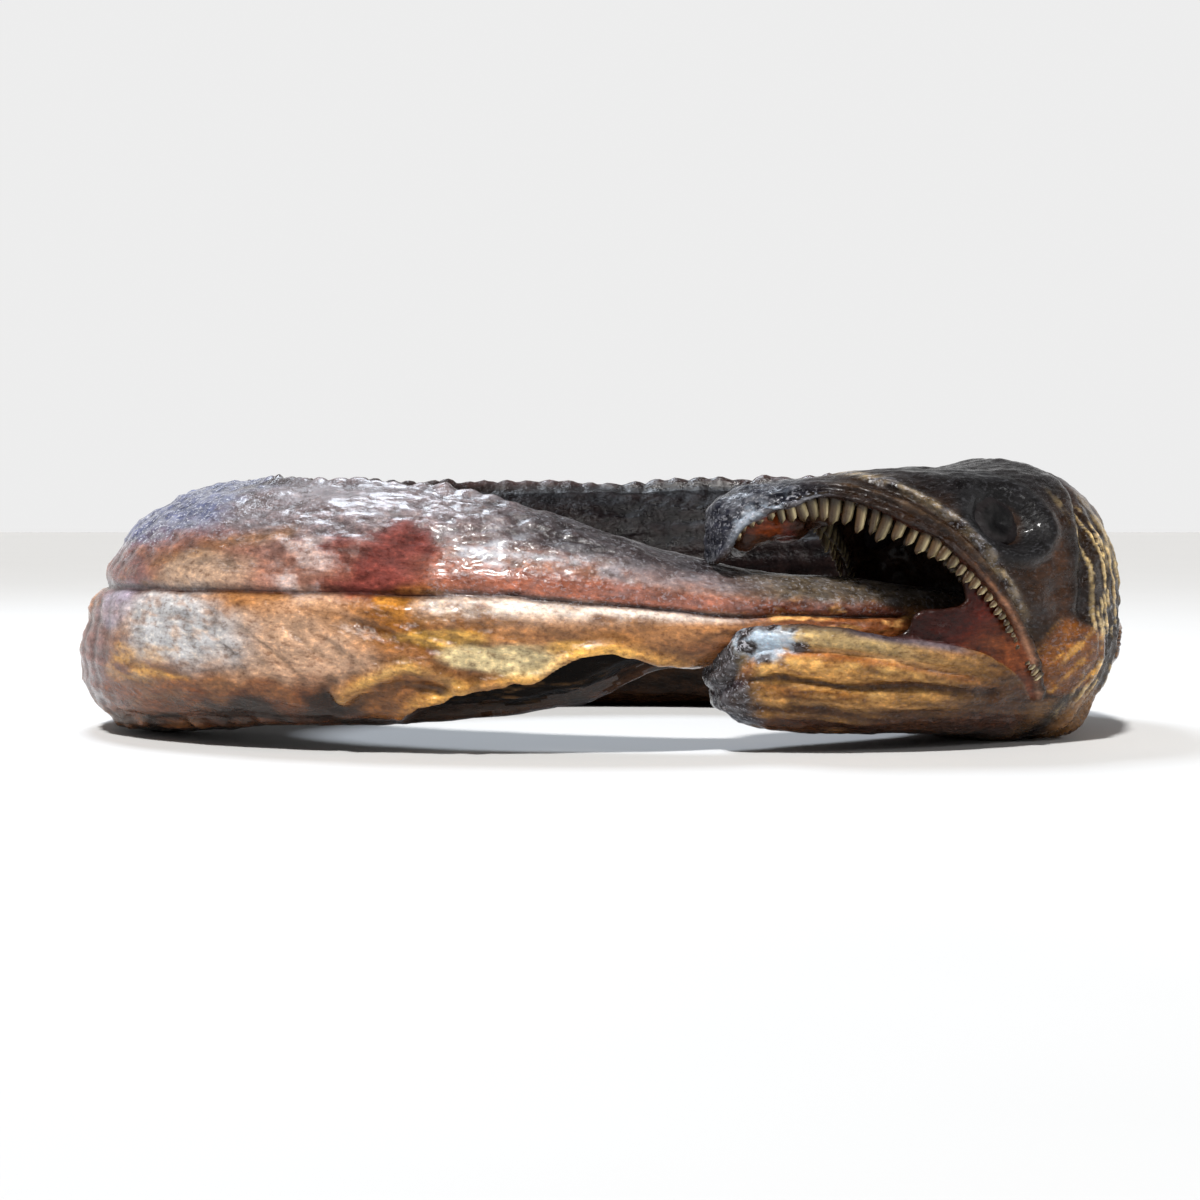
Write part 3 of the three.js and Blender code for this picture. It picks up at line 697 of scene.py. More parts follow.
    # The groove is dark red, and the tail is spotted where it lies in the mouth.
    crease, shown = lateral_groove(u, level, h)
    coat(DARK_RED, shown * bump(crease, 0, 0.5) * 0.9)
    tail = smooth(u, 370, 384)
    coat((78, 68, 54), tail * smooth(s, 0.05, 0.4) * 0.95)
    coat((128, 70, 34), tail * smooth(s, 0.1, -0.3) * 0.9)
    coat((84, 36, 22), tail * bump(s, 0.06, 0.2) * smooth(fine, 0.3, 0.6) * 0.9)
    coat((214, 160, 96), tail * bump(s, -0.15, 0.35) * smooth(fine, 0.6, 0.85) * 0.9)
    paint.shade((0.76 + 0.48 * fine) * (1 - 0.35 * segment_lines(u, level, h)))
    dorsal = smooth(level, 0.3, 0.8) * outside
    painted_glints = blue + 0.5 * band + 0.35 * pale + 0.6 * streak + 0.5 * pink + 0.3 * below_highlight_band + 0.2 * dorsal
    painted_glints = np.clip(painted_glints, 0, 1) * (1 - 0.8 * maroon)
    gold = smooth(z, 22, 18) * bump(u, 338, 14) * outside
    wet = 0.5 + 0.35 * blue + 0.1 * band + 0.4 * (below_highlight_band + streak + gold) - 0.3 * cloud - 0.5 * maroon
    dry = np.maximum(np.maximum(smooth(np.cos(turn), -0.15, -0.25), maroon), below)
    return painted_glints, wet, dry


def make_trunk(materials):
    """The body from under the gill covers round to the tail's tip, as one fine grid."""
    u = np.concatenate([
        np.arange(56, 262, 0.95), np.arange(262, 398, 0.55), np.arange(398, 420.5, 1.0),
    ])
    outer = np.radians(np.arange(-90, 90, 1.5))
    inner = np.radians(np.arange(90, 270, 2.4))
    u, even = np.meshgrid(u, np.concatenate([outer, inner]), indexing="ij")
    rows, columns = u.shape
    u, even = u.ravel(), even.ravel()
    turn = even + np.radians(along(SEAT, LINE, u)) * np.cos(even)
    s, c = np.sin(turn), np.cos(turn)
    h = s * reach(u, s)
    w = np.sign(c) * np.abs(c) ** sharpness(u, s) * along(BODY, HALF, u)
    points = np.column_stack([u, w, h])
    normal = normals_of(points, grid_faces(rows, columns))
    relief = body_relief(u, even, w, h)
    points = points + normal * relief[:, None]
    paint = Paint(len(points), ORANGE_BROWN)
    painted_glints, wet, dry = skin_colours(paint, u, w, h, even)
    # Painted shade in the creases and painted highlight on the crests: each point is held against the mean of
    # those around it.
    grid = relief.reshape(rows, columns)
    steps = range(-3, 4)
    mean = sum(np.roll(grid, (i, j), (0, 1)) for i in steps for j in steps) / len(steps) ** 2
    paint.shade(1 + 0.4 * np.clip((grid - mean).ravel() / 0.22, -1, 1))
    wet = np.clip(wet + 0.35 * rough(81, 2, u / 7, w / 4, h / 4), 0, 1)
    points, faces = closed_tube(points, rows, columns)
    is_dry = dry[np.array([face[0] for face in faces])] > 0.6
    make_piece(
        "body_skin", points, faces, np.vstack([paint.tint, linear(BARK), linear(BARK)]), materials,
        np.append(wet, [0.5, 0.5]), np.append(painted_glints, [0, 0]), is_dry,
    )


def make_breast_fins(materials):
    """The breast fins, dried onto the flanks: a fan of rays with a ragged end."""
    root_u, long, root_half, end_half, root_h, fall = 65, 31, 2.0, 7.2, -7, 5
    rows, across, rays = 84, 64, 11
    share = np.linspace(0, 1, rows)[:, None]
    top = np.linspace(-1, 1, across)
    t = np.concatenate([top, top[::-1]])[None, :]
    is_top = np.concatenate([np.ones(across), np.zeros(across)])[None, :]
    for side, name in ((1, "near_breast_fin"), (-1, "far_breast_fin")):
        wavy = t + 0.13 * noise(173 + side, 2.3 * t)
        end_ray = np.abs(np.cos(math.pi * rays * 0.5 * (wavy + 1)))
        place = wavy + 0.05 * noise(174 + side, share * 4, t * 2)
        ray = np.abs(np.cos(math.pi * rays * 0.5 * (place + 1)))
        ragged = 0.94 - 0.2 * t**2 - 0.13 * rough(171 + side, 2, t * 2.7) + 0.07 * end_ray
        u = root_u + long * share * ragged
        half = root_half + (end_half - root_half) * share**0.7
        h = root_h - fall * share**1.3 + half * t * (1 + 0.1 * noise(177 + side, share * 3))
        crumple = 0.5 * rough(175 + side, 3, share * 5, t * 1.6)
        lift = 0.75 + 0.32 * ray * smooth(share, 0.05, 0.3) + crumple
        rim = smooth(1 - np.abs(t), 0, 0.08) * smooth(share, 0, 0.06) * smooth(1 - share, 0, 0.03)
        w = side * (flank(u, h) + is_top * rim * (lift + 1.0) - 1.0)
        u, w, h, ray, out = (np.broadcast_to(a, (rows, 2 * across)).ravel() for a in (u, w, h, ray, share))
        points, faces = closed_tube(np.column_stack([u, w, h]), rows, 2 * across)
        if side > 0:
            faces = [face[::-1] for face in faces]
        paint = Paint(len(points), BARK)
        paint.coat((124, 86, 50), smooth(np.append(ray, [0, 0]), 0.2, 0.95) * 0.7)
        paint.coat(CHARCOAL, np.append(out, [0, 1]) ** 3 * 0.8)
        make_piece(name, points, faces, paint.tint, materials, 0.7, 0.1)


# ---- The head ----------------------------------------------------------------------------------------

VOXEL = 0.42
HEAD_ENDS, HEAD_HALF, HEAD_LEVELS = (-4.6, 77.5), 22.5, (-24, 25)
FRONT = -1.6
GAPE_END, MEMBRANE_TOP = 24.5, 22.3  # where the open gape becomes the skin of the cheek
CHEEK_DEPTH, JAW_WALL, THROAT_END, MOUTH_FLOOR = 1.7, 3.1, 46, 14.6
KNOB_U, KNOB_Z, KNOB_RADIUS = 56, 3.9, 3.3
# Flesh on the palate: each lump's u and height, and how far it reaches along, across and up.
PALATE_FLESH = [
    (6.5, 35.2, 3.6, 5.8, 3.4), (11, 35.6, 3.8, 5.4, 3.4), (4.2, 32.8, 2.0, 4.5, 2.8), (16, 37.4, 5, 5.6, 3),
]
# The lower jaw's long creases, as u and height above the floor, and how deep each is.
JAW_CREASES = [
    ([(3.5, 11.8), (8.7, 11.5), (15, 10.6), (22, 10.6), (30, 10), (37, 8.6)], 0.7),
    ([(5, 7.7), (8.6, 5.8), (15, 4.4), (24, 3.6)], 0.3),
    ([(17, 13.4), (24, 12.4), (32, 11)], 0.22),
    ([(9, 8.3), (16.3, 7.2), (23.6, 6.2), (30, 6.4)], 0.28),
]
# The groove in front of the gill cover.
PREOPERCLE = [(56, 42), (53, 36), (50.5, 28), (49.8, 21)]


def edge_route(rows):
    us = np.linspace(rows[0][0], rows[-1][0], 70)
    return list(zip(us, along(rows, 1, us)))


UPPER_ROUTE, LOWER_ROUTE = edge_route(UPPER_EDGE), edge_route(LOWER_EDGE)


def above_upper(u, z):
    """The distance above the upper jaw's edge in the side view, negative inside the gape."""
    inside = (z < along(UPPER_EDGE, 1, u)) & (u < UPPER_EDGE[-1][0])
    return distance_to(UPPER_ROUTE, u, z) * np.where(inside, -1, 1)


def below_lower(u, z):
    """The distance below the lower jaw's edge in the side view, negative inside the gape."""
    inside = z > along(LOWER_EDGE, 1, u)
    return distance_to(LOWER_ROUTE, u, z) * np.where(inside, -1, 1)


def head_past(u, h):
    """How far a point on the head is behind the gill cover's rim, and where the nape is."""
    return gill_past(u, np.clip(h / reach(u, h), -1, 1))


def lip_pinch(u):
    """The spacing of the upper lip's ridges: 1 in front, and less towards the corner of the mouth."""
    return 1 - 0.6 * smooth(u, 25, 41)


def head_relief(u, z, up, low):
    """How far the head's plates and ridges stand out, as a function of the side view."""
    # The upper lip: parallel ridges along the edge.
    pinch = lip_pinch(u)
    start = smooth(u, 1, 8)
    out = 0.5 * bump(up, 0.6, 0.6)
    out += 0.6 * start * bump(up, 2.8 * pinch, 0.7 * pinch)
    out += 0.95 * start * bump(up, 5.4 * pinch, pinch) * smooth(u, 43, 35)
    out -= 0.5 * start * bump(up, 1.7 * pinch, 0.5)
    out -= 0.55 * start * bump(up, 4.1 * pinch, 0.55)
    out *= smooth(up, 10, 7) * smooth(low, 0.5, -1) * smooth(u, 48, 44) * smooth(z, 43.5, 40)
    # The eye's bony ring, the brow above it and the sunken cheek below it.
    from_eye = np.hypot(u - EYE_U, (z - EYE_Z) * 1.05)
    lower_half = smooth(z, EYE_Z + 4, EYE_Z - 3)
    knobbly = 1 + 0.45 * noise(133, u / 1.9, z / 1.9)
    out += (0.3 + 0.7 * lower_half * knobbly) * bump(from_eye, 6.9, 1.1)
    out += 0.7 * bump(z, 42, 1.8) * bump(u, 38, 11)
    out -= 0.9 * bump(u, 46, 3.6) * bump(z, 24, 5.5) * smooth(up, 4, 8)
    # The gill cover: a groove in front of it and flat plates on it.
    out -= 0.9 * bump(distance_to(PREOPERCLE, u, z), 0, 0.9)
    out += 0.45 * bump(u, 53.5, 2.6) * smooth(z, 8, 14) * smooth(u, 36, 43)
    # The lower lip's band, with a crease below it, and the bone of the jaw.
    lip = smooth(u, 39, 30) * smooth(low, -0.6, 0)
    out += lip * (0.8 * bump(low, 1.7, 1.3) - 0.5 * bump(low, 3.6, 0.6) + 0.8 * bump(low, 5.6, 1.5))
    return out + 0.6 * window(u, 6, 12, 30, 40) * bump(z, 8.6, 1.7)


def socket_centre(out):
    """The w and h of a point on the eye's axis, this far out from the flank."""
    tilt = math.radians(EYE_UP_DEG)
    h = EYE_Z - mid(EYE_U)
    return flank(EYE_U, h) + out * math.cos(tilt), h + out * math.sin(tilt)


def head_field():
    """The head as a field on a grid of voxels, negative inside it, for the half with w from 0 up."""
    u = np.arange(HEAD_ENDS[0], HEAD_ENDS[1], VOXEL)
    w = np.arange(0, HEAD_HALF, VOXEL)
    h = np.arange(HEAD_LEVELS[0], HEAD_LEVELS[1], VOXEL)
    side_u, side_h = np.meshgrid(u, h, indexing="ij")
    side_z = side_h + mid(side_u)
    up, low = above_upper(side_u, side_z), below_lower(side_u, side_z)

    def whole(side):
        return side[:, None, :].astype(np.float32)

    along_u, height, wide_w = whole(side_u), whole(side_z), w[None, :, None]
    share = whole(side_h / reach(side_u, side_h))
    across = (wide_w / whole(along(BODY, HALF, side_u))).astype(np.float32)
    size = np.sqrt(across ** whole(2 / sharpness(side_u, side_h)) + share**2)
    steep = np.sqrt(sum(g**2 for g in np.gradient(size, VOXEL)))
    shell = (size - 1) / np.maximum(steep, 0.025)
    # The gill cover's plate, which ends at its rim and sinks into the nape.
    past, nape = head_past(side_u, side_h)
    cover = GILL_THICK * smooth(side_u, 40, 53) * (1 - smooth(past, 0, GILL_REACH) * nape)
    cover -= 1.1 * smooth(past, 9, GILL_REACH) * nape
    field = shell - whole(head_relief(side_u, side_z, up, low) + cover)
    field = smooth_max(field, whole(past - GILL_REACH * nape), 0.8)
    front = FRONT - 1.1 * smooth(side_z, 32, 40)
    field = smooth_max(field, whole(front - side_u), 2.5)
    # The open gape, and the skin of the cheek sunk between the jaws.
    gape = whole(smooth_max(up, low, 0.6))
    membrane_edge = smooth_min(
        along_u - GAPE_END, smooth_max(MEMBRANE_TOP - height, along_u - GAPE_END - 8, 2), 3
    )
    field = smooth_max(field, -smooth_max(gape, membrane_edge, 3), 0.9)
    recess = whole(CHEEK_DEPTH * smooth(side_u, 41, 37) + 0.01)
    cheek = np.maximum(np.maximum(gape, -(shell + recess)), -membrane_edge - 6)
    field = smooth_max(field, -cheek, 0.5)
    # The hollow between the jaws.
    palate = whole(along(UPPER_EDGE, 1, np.minimum(side_u, 17)) + 2.2)
    hollow = smooth_max(shell + JAW_WALL, MOUTH_FLOOR - height, 3)
    hollow = smooth_max(hollow, height - palate, 4)
    hollow = smooth_max(hollow, along_u - THROAT_END, 8)
    field = smooth_max(field, -hollow, 0.8)
    # Flesh that hangs from the palate behind the snout's tip.
    for at_u, at_z, long, wide, tall in PALATE_FLESH:
        lump = np.sqrt(
            ((along_u - at_u) / long) ** 2 + (wide_w / wide) ** 2 + ((height - at_z) / tall) ** 2
        )
        field = smooth_min(field, (lump - 1) * tall, 1.2)
    # The eye's socket.
    at_w, at_h = socket_centre(2.4)
    from_eye = np.sqrt((along_u - EYE_U) ** 2 + (wide_w - at_w) ** 2 + (whole(side_h) - at_h) ** 2)
    return u, w, h, smooth_max(field, SOCKET - from_eye, 1.2).astype(np.float32)


def head_mesh():
    """The head's surface as quads in fish coordinates, with the knob under the near gill cover."""
    u, w, h, half = head_field()
    field = np.concatenate([half[:, :0:-1], half], axis=1)
    all_w = np.concatenate([-w[:0:-1], w])
    grid_u, grid_w, grid_h = np.meshgrid(u, all_w, h, indexing="ij", sparse=True)
    knob_h = KNOB_Z - mid(KNOB_U)
    knob_w = flank(KNOB_U, knob_h)
    knob = np.sqrt(((grid_u - KNOB_U) / 1.5) ** 2 + (grid_w - knob_w) ** 2 + (grid_h - knob_h) ** 2)
    field = smooth_min(field, (knob - KNOB_RADIUS).astype(np.float32), 2.0)
    grid = openvdb.FloatGrid()
    grid.copyFromArray(np.ascontiguousarray(field, dtype=np.float32))
    points, quads = grid.convertToQuads(isovalue=0.0)
    points = points.astype(float) * VOXEL + [u[0], all_w[0], h[0]]
    quads = quads.astype(np.int64)
    a, b, c, d = (points[quads[:, k]] for k in range(4))
    volume = np.einsum("ij,ij->i", a, np.cross(c - a, d - b)).sum()
    return points, quads if volume > 0 else quads[:, ::-1]


def jaw_creases(u, z, width):
    """How deep the lower jaw is creased at each point, with creases of the given width."""
    total = np.zeros(len(u))
    wavy = z + 0.5 * noise(111, u / 9, z / 5) + 0.25 * noise(112, u / 3.5, z / 2.5)
    for route, deep in JAW_CREASES:
        total = np.maximum(total, deep * bump(distance_to(route, u, wavy), 0, width))
    return total


def cover_streaks(u, z, past):
    """Streaks along the gill cover's rim, from -1 to 1."""
    bowed = past + 1.2 * noise(115, u / 7, z / 12)
    return np.clip(1.9 * rough(116, 2, bowed / 0.65, z / 9), -1, 1)


def head_wrinkles(u, w, h, depth, up, low):
    """Fine relief on the head's surface: creases on the jaw, streaks on the gill cover, pebbles."""
    z = mid(u) + h
    open_skin = smooth(depth, 3.2, 1.8)
    out = 0.22 * rough(101, 2, u / 7, w / 5, h / 5)
    out += 0.13 * rough(105, 3, u / 2.4, w / 1.3, h / 1.3)
    jaw = smooth(low, 0.6, 2.2) * smooth(u, 50, 40) * open_skin
    grain = rough(113, 3, u / 12, (z + 0.1 * u) / 1.1)
    out += jaw * (0.2 - 1.2 * jaw_creases(u, z, 0.75) + 0.11 * grain)
    past, nape = head_past(u, h)
    streaked = window(past, -10, -6.5, -0.3, 1) * (1 - nape) * open_skin
    out += streaked * 0.3 * cover_streaks(u, z, past)
    # Pebbled, shrivelled skin on the snout and the jaw's tip.
    out += 0.2 * smooth(u, 16, 6) * open_skin * rough(119, 2, u / 1.9, w / 1.6, h / 1.6)
    # Rough flesh inside the mouth.
    return out + 0.3 * (1 - open_skin) * rough(123, 2, u / 3.2, w / 1.8, h / 1.8)


def head_colours(paint, u, w, h, depth, up, low):
    """The head's colours; gives back how much painted glint it has and how wet it is."""
    coat = paint.coat
    z = mid(u) + h
    fine = 0.5 + 0.5 * rough(131, 3, u / 2.6, w / 1.5, h / 1.5)
    broad = 0.5 + 0.5 * rough(135, 2, u / 9, w / 6, h / 6)
    outer = smooth(depth, 2.6, 1.4)
    # The skull, the cheek and the ridges of the upper lip.
    pinch = lip_pinch(u)
    coat(BRONZE, smooth(up, 9, 4) * smooth(up, -0.5, 0.3) * (0.7 + 0.3 * fine))
    ridge = bump(up, 5.4 * pinch, 0.75) * window(u, 14, 22, 35, 42) * outer
    coat(LIP_RIDGE, ridge * smooth(fine, 0.1, 0.6))
    coat((80, 62, 44), bump(up, 2.8 * pinch, 0.4) * smooth(u, 42, 32) * outer * fine * 0.7)
    coat((150, 106, 80), bump(up, 0.4, 0.45) * outer * smooth(u, 30, 37) * (0.3 + 0.6 * fine))
    from_eye = np.hypot(u - EYE_U, z - EYE_Z)
    ring = bump(from_eye, 7.0, 1.0) * smooth(z, EYE_Z + 2, EYE_Z - 3)
    coat((118, 92, 74), ring * smooth(fine, 0.5, 0.9) * 0.4)
    # Painted shade, nearly black, in and round the eye's sunken socket; above it a painted shadow darkens the
    # dark skin high on the head.
    socket = smooth(from_eye, 8.6, 6.6)
    coat(SHADE_BLACK, socket)
    coat(SHADE_BLACK, smooth(z, 35, 41) * window(u, 26, 34, 50, 56) * outer * 0.75)
    # The gill cover: dark, with gold streaks along its rim that carry painted glints, and a golden patch low
    # down.
    past, nape = head_past(u, h)
    coat(COVER_DARK, smooth(u, 46.5, 49.5) * outer * (1 - nape) * 0.9)
    rim = smooth(past, -10.5, -8.5) * (1 - nape) * outer * smooth(z, 3, 8)
    streak = smooth(cover_streaks(u, z, past), 0.0, 0.55) * smooth(rough(141, 2, u / 1.6, z / 5), -0.5, 0.2)
    coat((48, 32, 16), rim * 0.5)
    coat(STREAK_GOLD, rim * streak * (1 - 0.4 * smooth(past, -5, -2)))
    fan = fine + rough(143, 3, (u + z) / 7, (u - z) / 1.5)
    patch = smooth(np.hypot((u - 47.5) / 6.6, (z - 14.6) / 5.6) + 0.6 * (broad - 0.5), 1.08, 0.8)
    patch *= smooth(up, 1.4, 2.0)
    coat(CHEEK_GOLD, patch * outer * (1 - 0.4 * rim))
    coat((90, 44, 8), patch * outer * smooth(fan, 0.5, 0) * 0.5)
    coat((204, 150, 66), patch * outer * smooth(fan, 0.7, 1.2) * 0.7)
    # The lower jaw: gold below a cream lip, painted highlights on its crests, dark creases, brown below and
    # behind, darkened low down as painted shade, and a slate tip with a painted bluish highlight.
    jaw = smooth(low, -0.2, 0.4) * smooth(u, 50, 43) * outer
    grain = rough(145, 3, u / 12, z + 0.1 * u)
    coat(JAW_GOLD, jaw)
    coat((146, 92, 40), jaw * smooth(grain, 0.0, 0.7) * 0.7)
    # Painted highlights along the jaw's crests.
    crest_highlight = bump(low, 5.4, 0.9) + 0.7 * bump(z, 9.2, 0.8) * smooth(u, 8, 14)
    coat((208, 166, 98), jaw * crest_highlight * smooth(u, 33, 22) * smooth(fine, 0.25, 0.8) * 0.6)
    # Low on the jaw its brown is darkened further as painted shade.
    coat(JAW_BROWN, jaw * smooth(z + 3 * (broad - 0.5) - 2.5 * grain, 11, 5) * 0.97)
    coat(JAW_BROWN, jaw * smooth(u + 5 * (broad - 0.5) - 4 * grain, 26, 38) * 0.85)
    coat(JAW_CREASE, jaw * np.clip(1.5 * jaw_creases(u, z, 0.5), 0, 0.8))
    coat(LIP_CREAM, jaw * smooth(low, 3.5, 2.7) * smooth(u, 33, 18) * 0.95)
    coat((200, 160, 120), jaw * bump(low, 3.5, 0.35) * smooth(u, 34, 22) * 0.4)
    coat(LIP_RED, jaw * bump(low, 4.3, 0.5) * smooth(u, 36, 26) * 0.45)
    coat(MAUVE, window(low, -3, -1, 0.5, 1.7) * window(u, 13, 18, 29, 35))
    coat((52, 46, 54), bump(low, 0.2, 0.5) * window(u, 4, 8, 18, 24) * 0.7)
    tip = smooth(u + 0.35 * (z - 12) - 1.5 * fine, 4.2, 1.2) * smooth(low, -0.6, 0.4)
    top = smooth(np.hypot((u - 5.2) / 5, (z - 17.4) / 3.2) + 0.9 * (fine - 0.5), 1.15, 0.7)
    top *= smooth(low, -1.5, 0)
    coat(SLATE, np.maximum(tip, top) * 0.95)
    # A painted bluish-white highlight on top of the jaw's tip.
    coat((166, 184, 200), top * smooth(fine, 0.4, 0.6) * 0.85)
    knob = smooth(np.hypot(u - KNOB_U, (z - KNOB_Z) * 1.1), 6.5, 3.5) * smooth(w, 4, 8)
    coat(KNOB_GOLD, knob * 0.9)
    # The skin of the cheek between the jaws, and the inside of the mouth, with painted shade deep inside it.
    between = smooth(np.maximum(up, low), 0.3, -0.4)
    coat(MEMBRANE, between * smooth(u, 15, 22))
    coat((30, 9, 7), between * smooth(u - 0.8 * (z - 18), 34, 27) * (0.65 + 0.35 * fine))
    corner = between * smooth(u + 1.2 * (20 - z), 33, 41)
    coat((104, 54, 26), corner * (0.4 + 0.6 * fine))
    # Painted shade, dark brown, deep inside the mouth.
    inside = smooth(depth, 1.6, 2.6) * smooth(u, 50, 47) * smooth(z, 12, 14.5)
    coat(MOUTH_SHADE, inside)
    roof = smooth(up, 0.2, -0.5) * smooth(z, 27, 30) * smooth(u, 26, 19)
    coat(PALATE_BROWN, roof * (1 - 0.6 * inside * smooth(up, -2, -6)))
    raw = np.hypot((u - 5.5) / 5, (z - 35.2) / 2.2) + 0.9 * (fine - 0.5)
    coat(FLESH, roof * smooth(raw, 1.1, 0.6) * 0.9)
    coat(DARK_RED, roof * bump(u, 10.5, 2) * smooth(fine, 0.3, 0.7) * 0.8)
    # The snout's tip is dark and bluish, with painted glints along its rim.
    snout = smooth(u, 19, 9) * smooth(up, 0.2, 1.2) * outer * smooth(z, 22, 25)
    coat(SLATE, snout * 0.95)
    rim_glints = bump(up, 1.0, 1.3) * window(u, 0, 3, 11, 15) * outer
    coat((128, 138, 150), rim_glints * smooth(fine, 0.45, 0.7) * 0.8)
    paint.shade(0.74 + 0.52 * fine)
    painted_glints = 0.06 * outer + 0.5 * (ridge + tip + rim_glints) + top + 0.22 * snout + 0.12 * patch
    painted_glints += 0.4 * rim * streak * smooth(past, -2, -5)
    wet = 0.55 + 0.3 * (snout + ridge + patch) + 0.4 * (top - socket) + 0.35 * jaw
    return np.clip(painted_glints, 0, 1) * (1 - between), wet


def make_head(materials):
    """The head, from the snout to just behind the gill covers."""
    points, quads = head_mesh()
    u, w, h = points.T
    z = mid(u) + h
    up, low = above_upper(u, z), below_lower(u, z)
    depth = flank(u, h) - np.abs(w)
    wrinkles = head_wrinkles(u, w, h, depth, up, low)
    paint = Paint(len(points), CHEEK_BROWN)
    # Darker high on the head: its dark skin, deepened by a painted shadow.
    paint.coat((24, 20, 20), smooth(h / reach(u, h), 0.55, 0.95) * 0.9)
    skin = Paint(len(points), ORANGE_BROWN)
    turn = np.arctan2(h / reach(u, h), w / np.maximum(along(BODY, HALF, u), 1))
    skin_colours(skin, u, w, h, turn)
    paint.blend(skin.tint, smooth(u, 54, 66))
    painted_glints, wet = head_colours(paint, u, w, h, depth, up, low)
    # Painted shade in the wrinkles' hollows and painted highlight on their crests.
    paint.shade(1 + 0.35 * np.clip(wrinkles / 0.4, -1, 1))
    wet = np.clip(wet + 0.3 * rough(139, 2, u / 7, w / 4, h / 4), 0, 1)
    points = points + normals_of(points, quads) * wrinkles[:, None]
    make_piece("head_skin", points, quads, paint.tint, materials, wet, painted_glints)


# ---- Teeth and eyes ------------------------------------------------------------------------------------

# The teeth along the upper jaw: u, how long they are there and how far apart.
TEETH = [
    (0, 0.6, 1.2), (6, 1.3, 1.5), (9, 2.4, 1.6), (15, 3.9, 1.8), (24, 3.7, 1.75), (29, 2.9, 1.6),
    (33, 2.0, 1.4), (37, 1.1, 1.15), (43, 0.6, 0.95),
]
LENGTH, SPACING = 1, 2
TOOTH_ROOT = 1.2


def unit(vector):
    return vector / np.linalg.norm(vector)


def tooth_grid(root, down, inwards, length, width):
    """One flattened, curved, blunt tooth: a closed grid of rings round its axis.

    Gives its points and faces, and for each point how far down the tooth and how far to its lit side it is.
    """
    rings, around = 14, 12
    share = 1 - (1 - np.linspace(0, 1, rings)[:, None]) ** 1.6
    turn = np.linspace(0, 2 * math.pi, around, endpoint=False)[None, :]
    taper = np.clip(1 - share**14, 0, 1) ** 0.5 * (1 - 0.15 * share) + 0.02
    size = width * taper * (1 + 0.12 * np.cos(5 * turn))
    sideways = np.cross(down, inwards)
    drop = share * (length + TOOTH_ROOT) - TOOTH_ROOT + 0.35 * width * share**8 * np.cos(turn - 0.6)
    points = (
        root + down * drop[..., None]
        + inwards * (0.18 * length * share**2 + 0.6 * np.sin(turn) * size)[..., None]
        + sideways * (np.cos(turn) * size)[..., None]
    )
    lit = 0.5 + 0.5 * np.cos(turn) * np.sign(sideways[0])
    share, lit = (np.broadcast_to(a, (rings, around)).ravel() for a in (share, lit))
    return points.reshape(-1, 3), grid_faces(rings, around), share, lit


def make_teeth(materials):
    """Two rows of teeth along each side of the upper jaw, broad in front and small towards the corner."""
    us = np.linspace(2.0, 42.8, 400)
    zs = along(UPPER_EDGE, 1, us)
    run = run_length(us, zs)
    points, faces, tint, count = [], [], [], 0
    random = np.random.default_rng(7)
    for side in (1, -1):
        for row, row_length, row_shade in ((0, 1, 1), (1, 0.6, 0.5)):
            at = 0.6 + 0.9 * row
            while at < run[-1]:
                u, z = np.interp(at, run, us), np.interp(at, run, zs)
                length = along(TEETH, LENGTH, u) * random.uniform(0.7, 1.1) * row_length
                spacing = along(TEETH, SPACING, u) * random.uniform(0.88, 1.12)
                width = 0.48 * spacing * random.uniform(0.8, 1.08)
                ahead_u, ahead_z = np.interp(at + 0.5, run, us), np.interp(at + 0.5, run, zs)
                course = unit(np.array([ahead_u - u, 0, ahead_z - z]))
                down = np.array([course[2], 0, -course[0]])
                if down[2] > 0:
                    down = -down
                down = down + course * random.uniform(0.05, 0.4)
                down = unit(down + [0, random.uniform(-0.2, 0) * side, -0.3])
                h = z - mid(u)
                w = flank(u, max(h, 0) + 0.5) - 1.0 - 1.9 * row
                inwards = unit(np.array([0, -side, 0]) + down * side * down[1])
                root = np.array([u, side * w, h])
                tooth, quads, along_tooth, lit = tooth_grid(root, down, inwards, length, width)
                points.append(tooth)
                faces.append((quads if side > 0 else quads[:, ::-1]) + count)
                count += len(tooth)
                # Each tooth is painted ivory on its lit side as a painted highlight, and darker towards its
                # root as painted shade.
                paint = Paint(len(tooth), HORN)
                paint.coat(IVORY, smooth(lit, 0.35, 0.8) * smooth(along_tooth, 0.2, 0.5))
                root_shade = 1 - 0.6 * smooth(along_tooth, 0.45, 0.15)
                paint.shade(root_shade * random.uniform(0.55, 1.25) * row_shade)
                tint.append(paint.tint)
                at += spacing
    make_piece("teeth", np.vstack(points), np.vstack(faces), np.vstack(tint), materials)


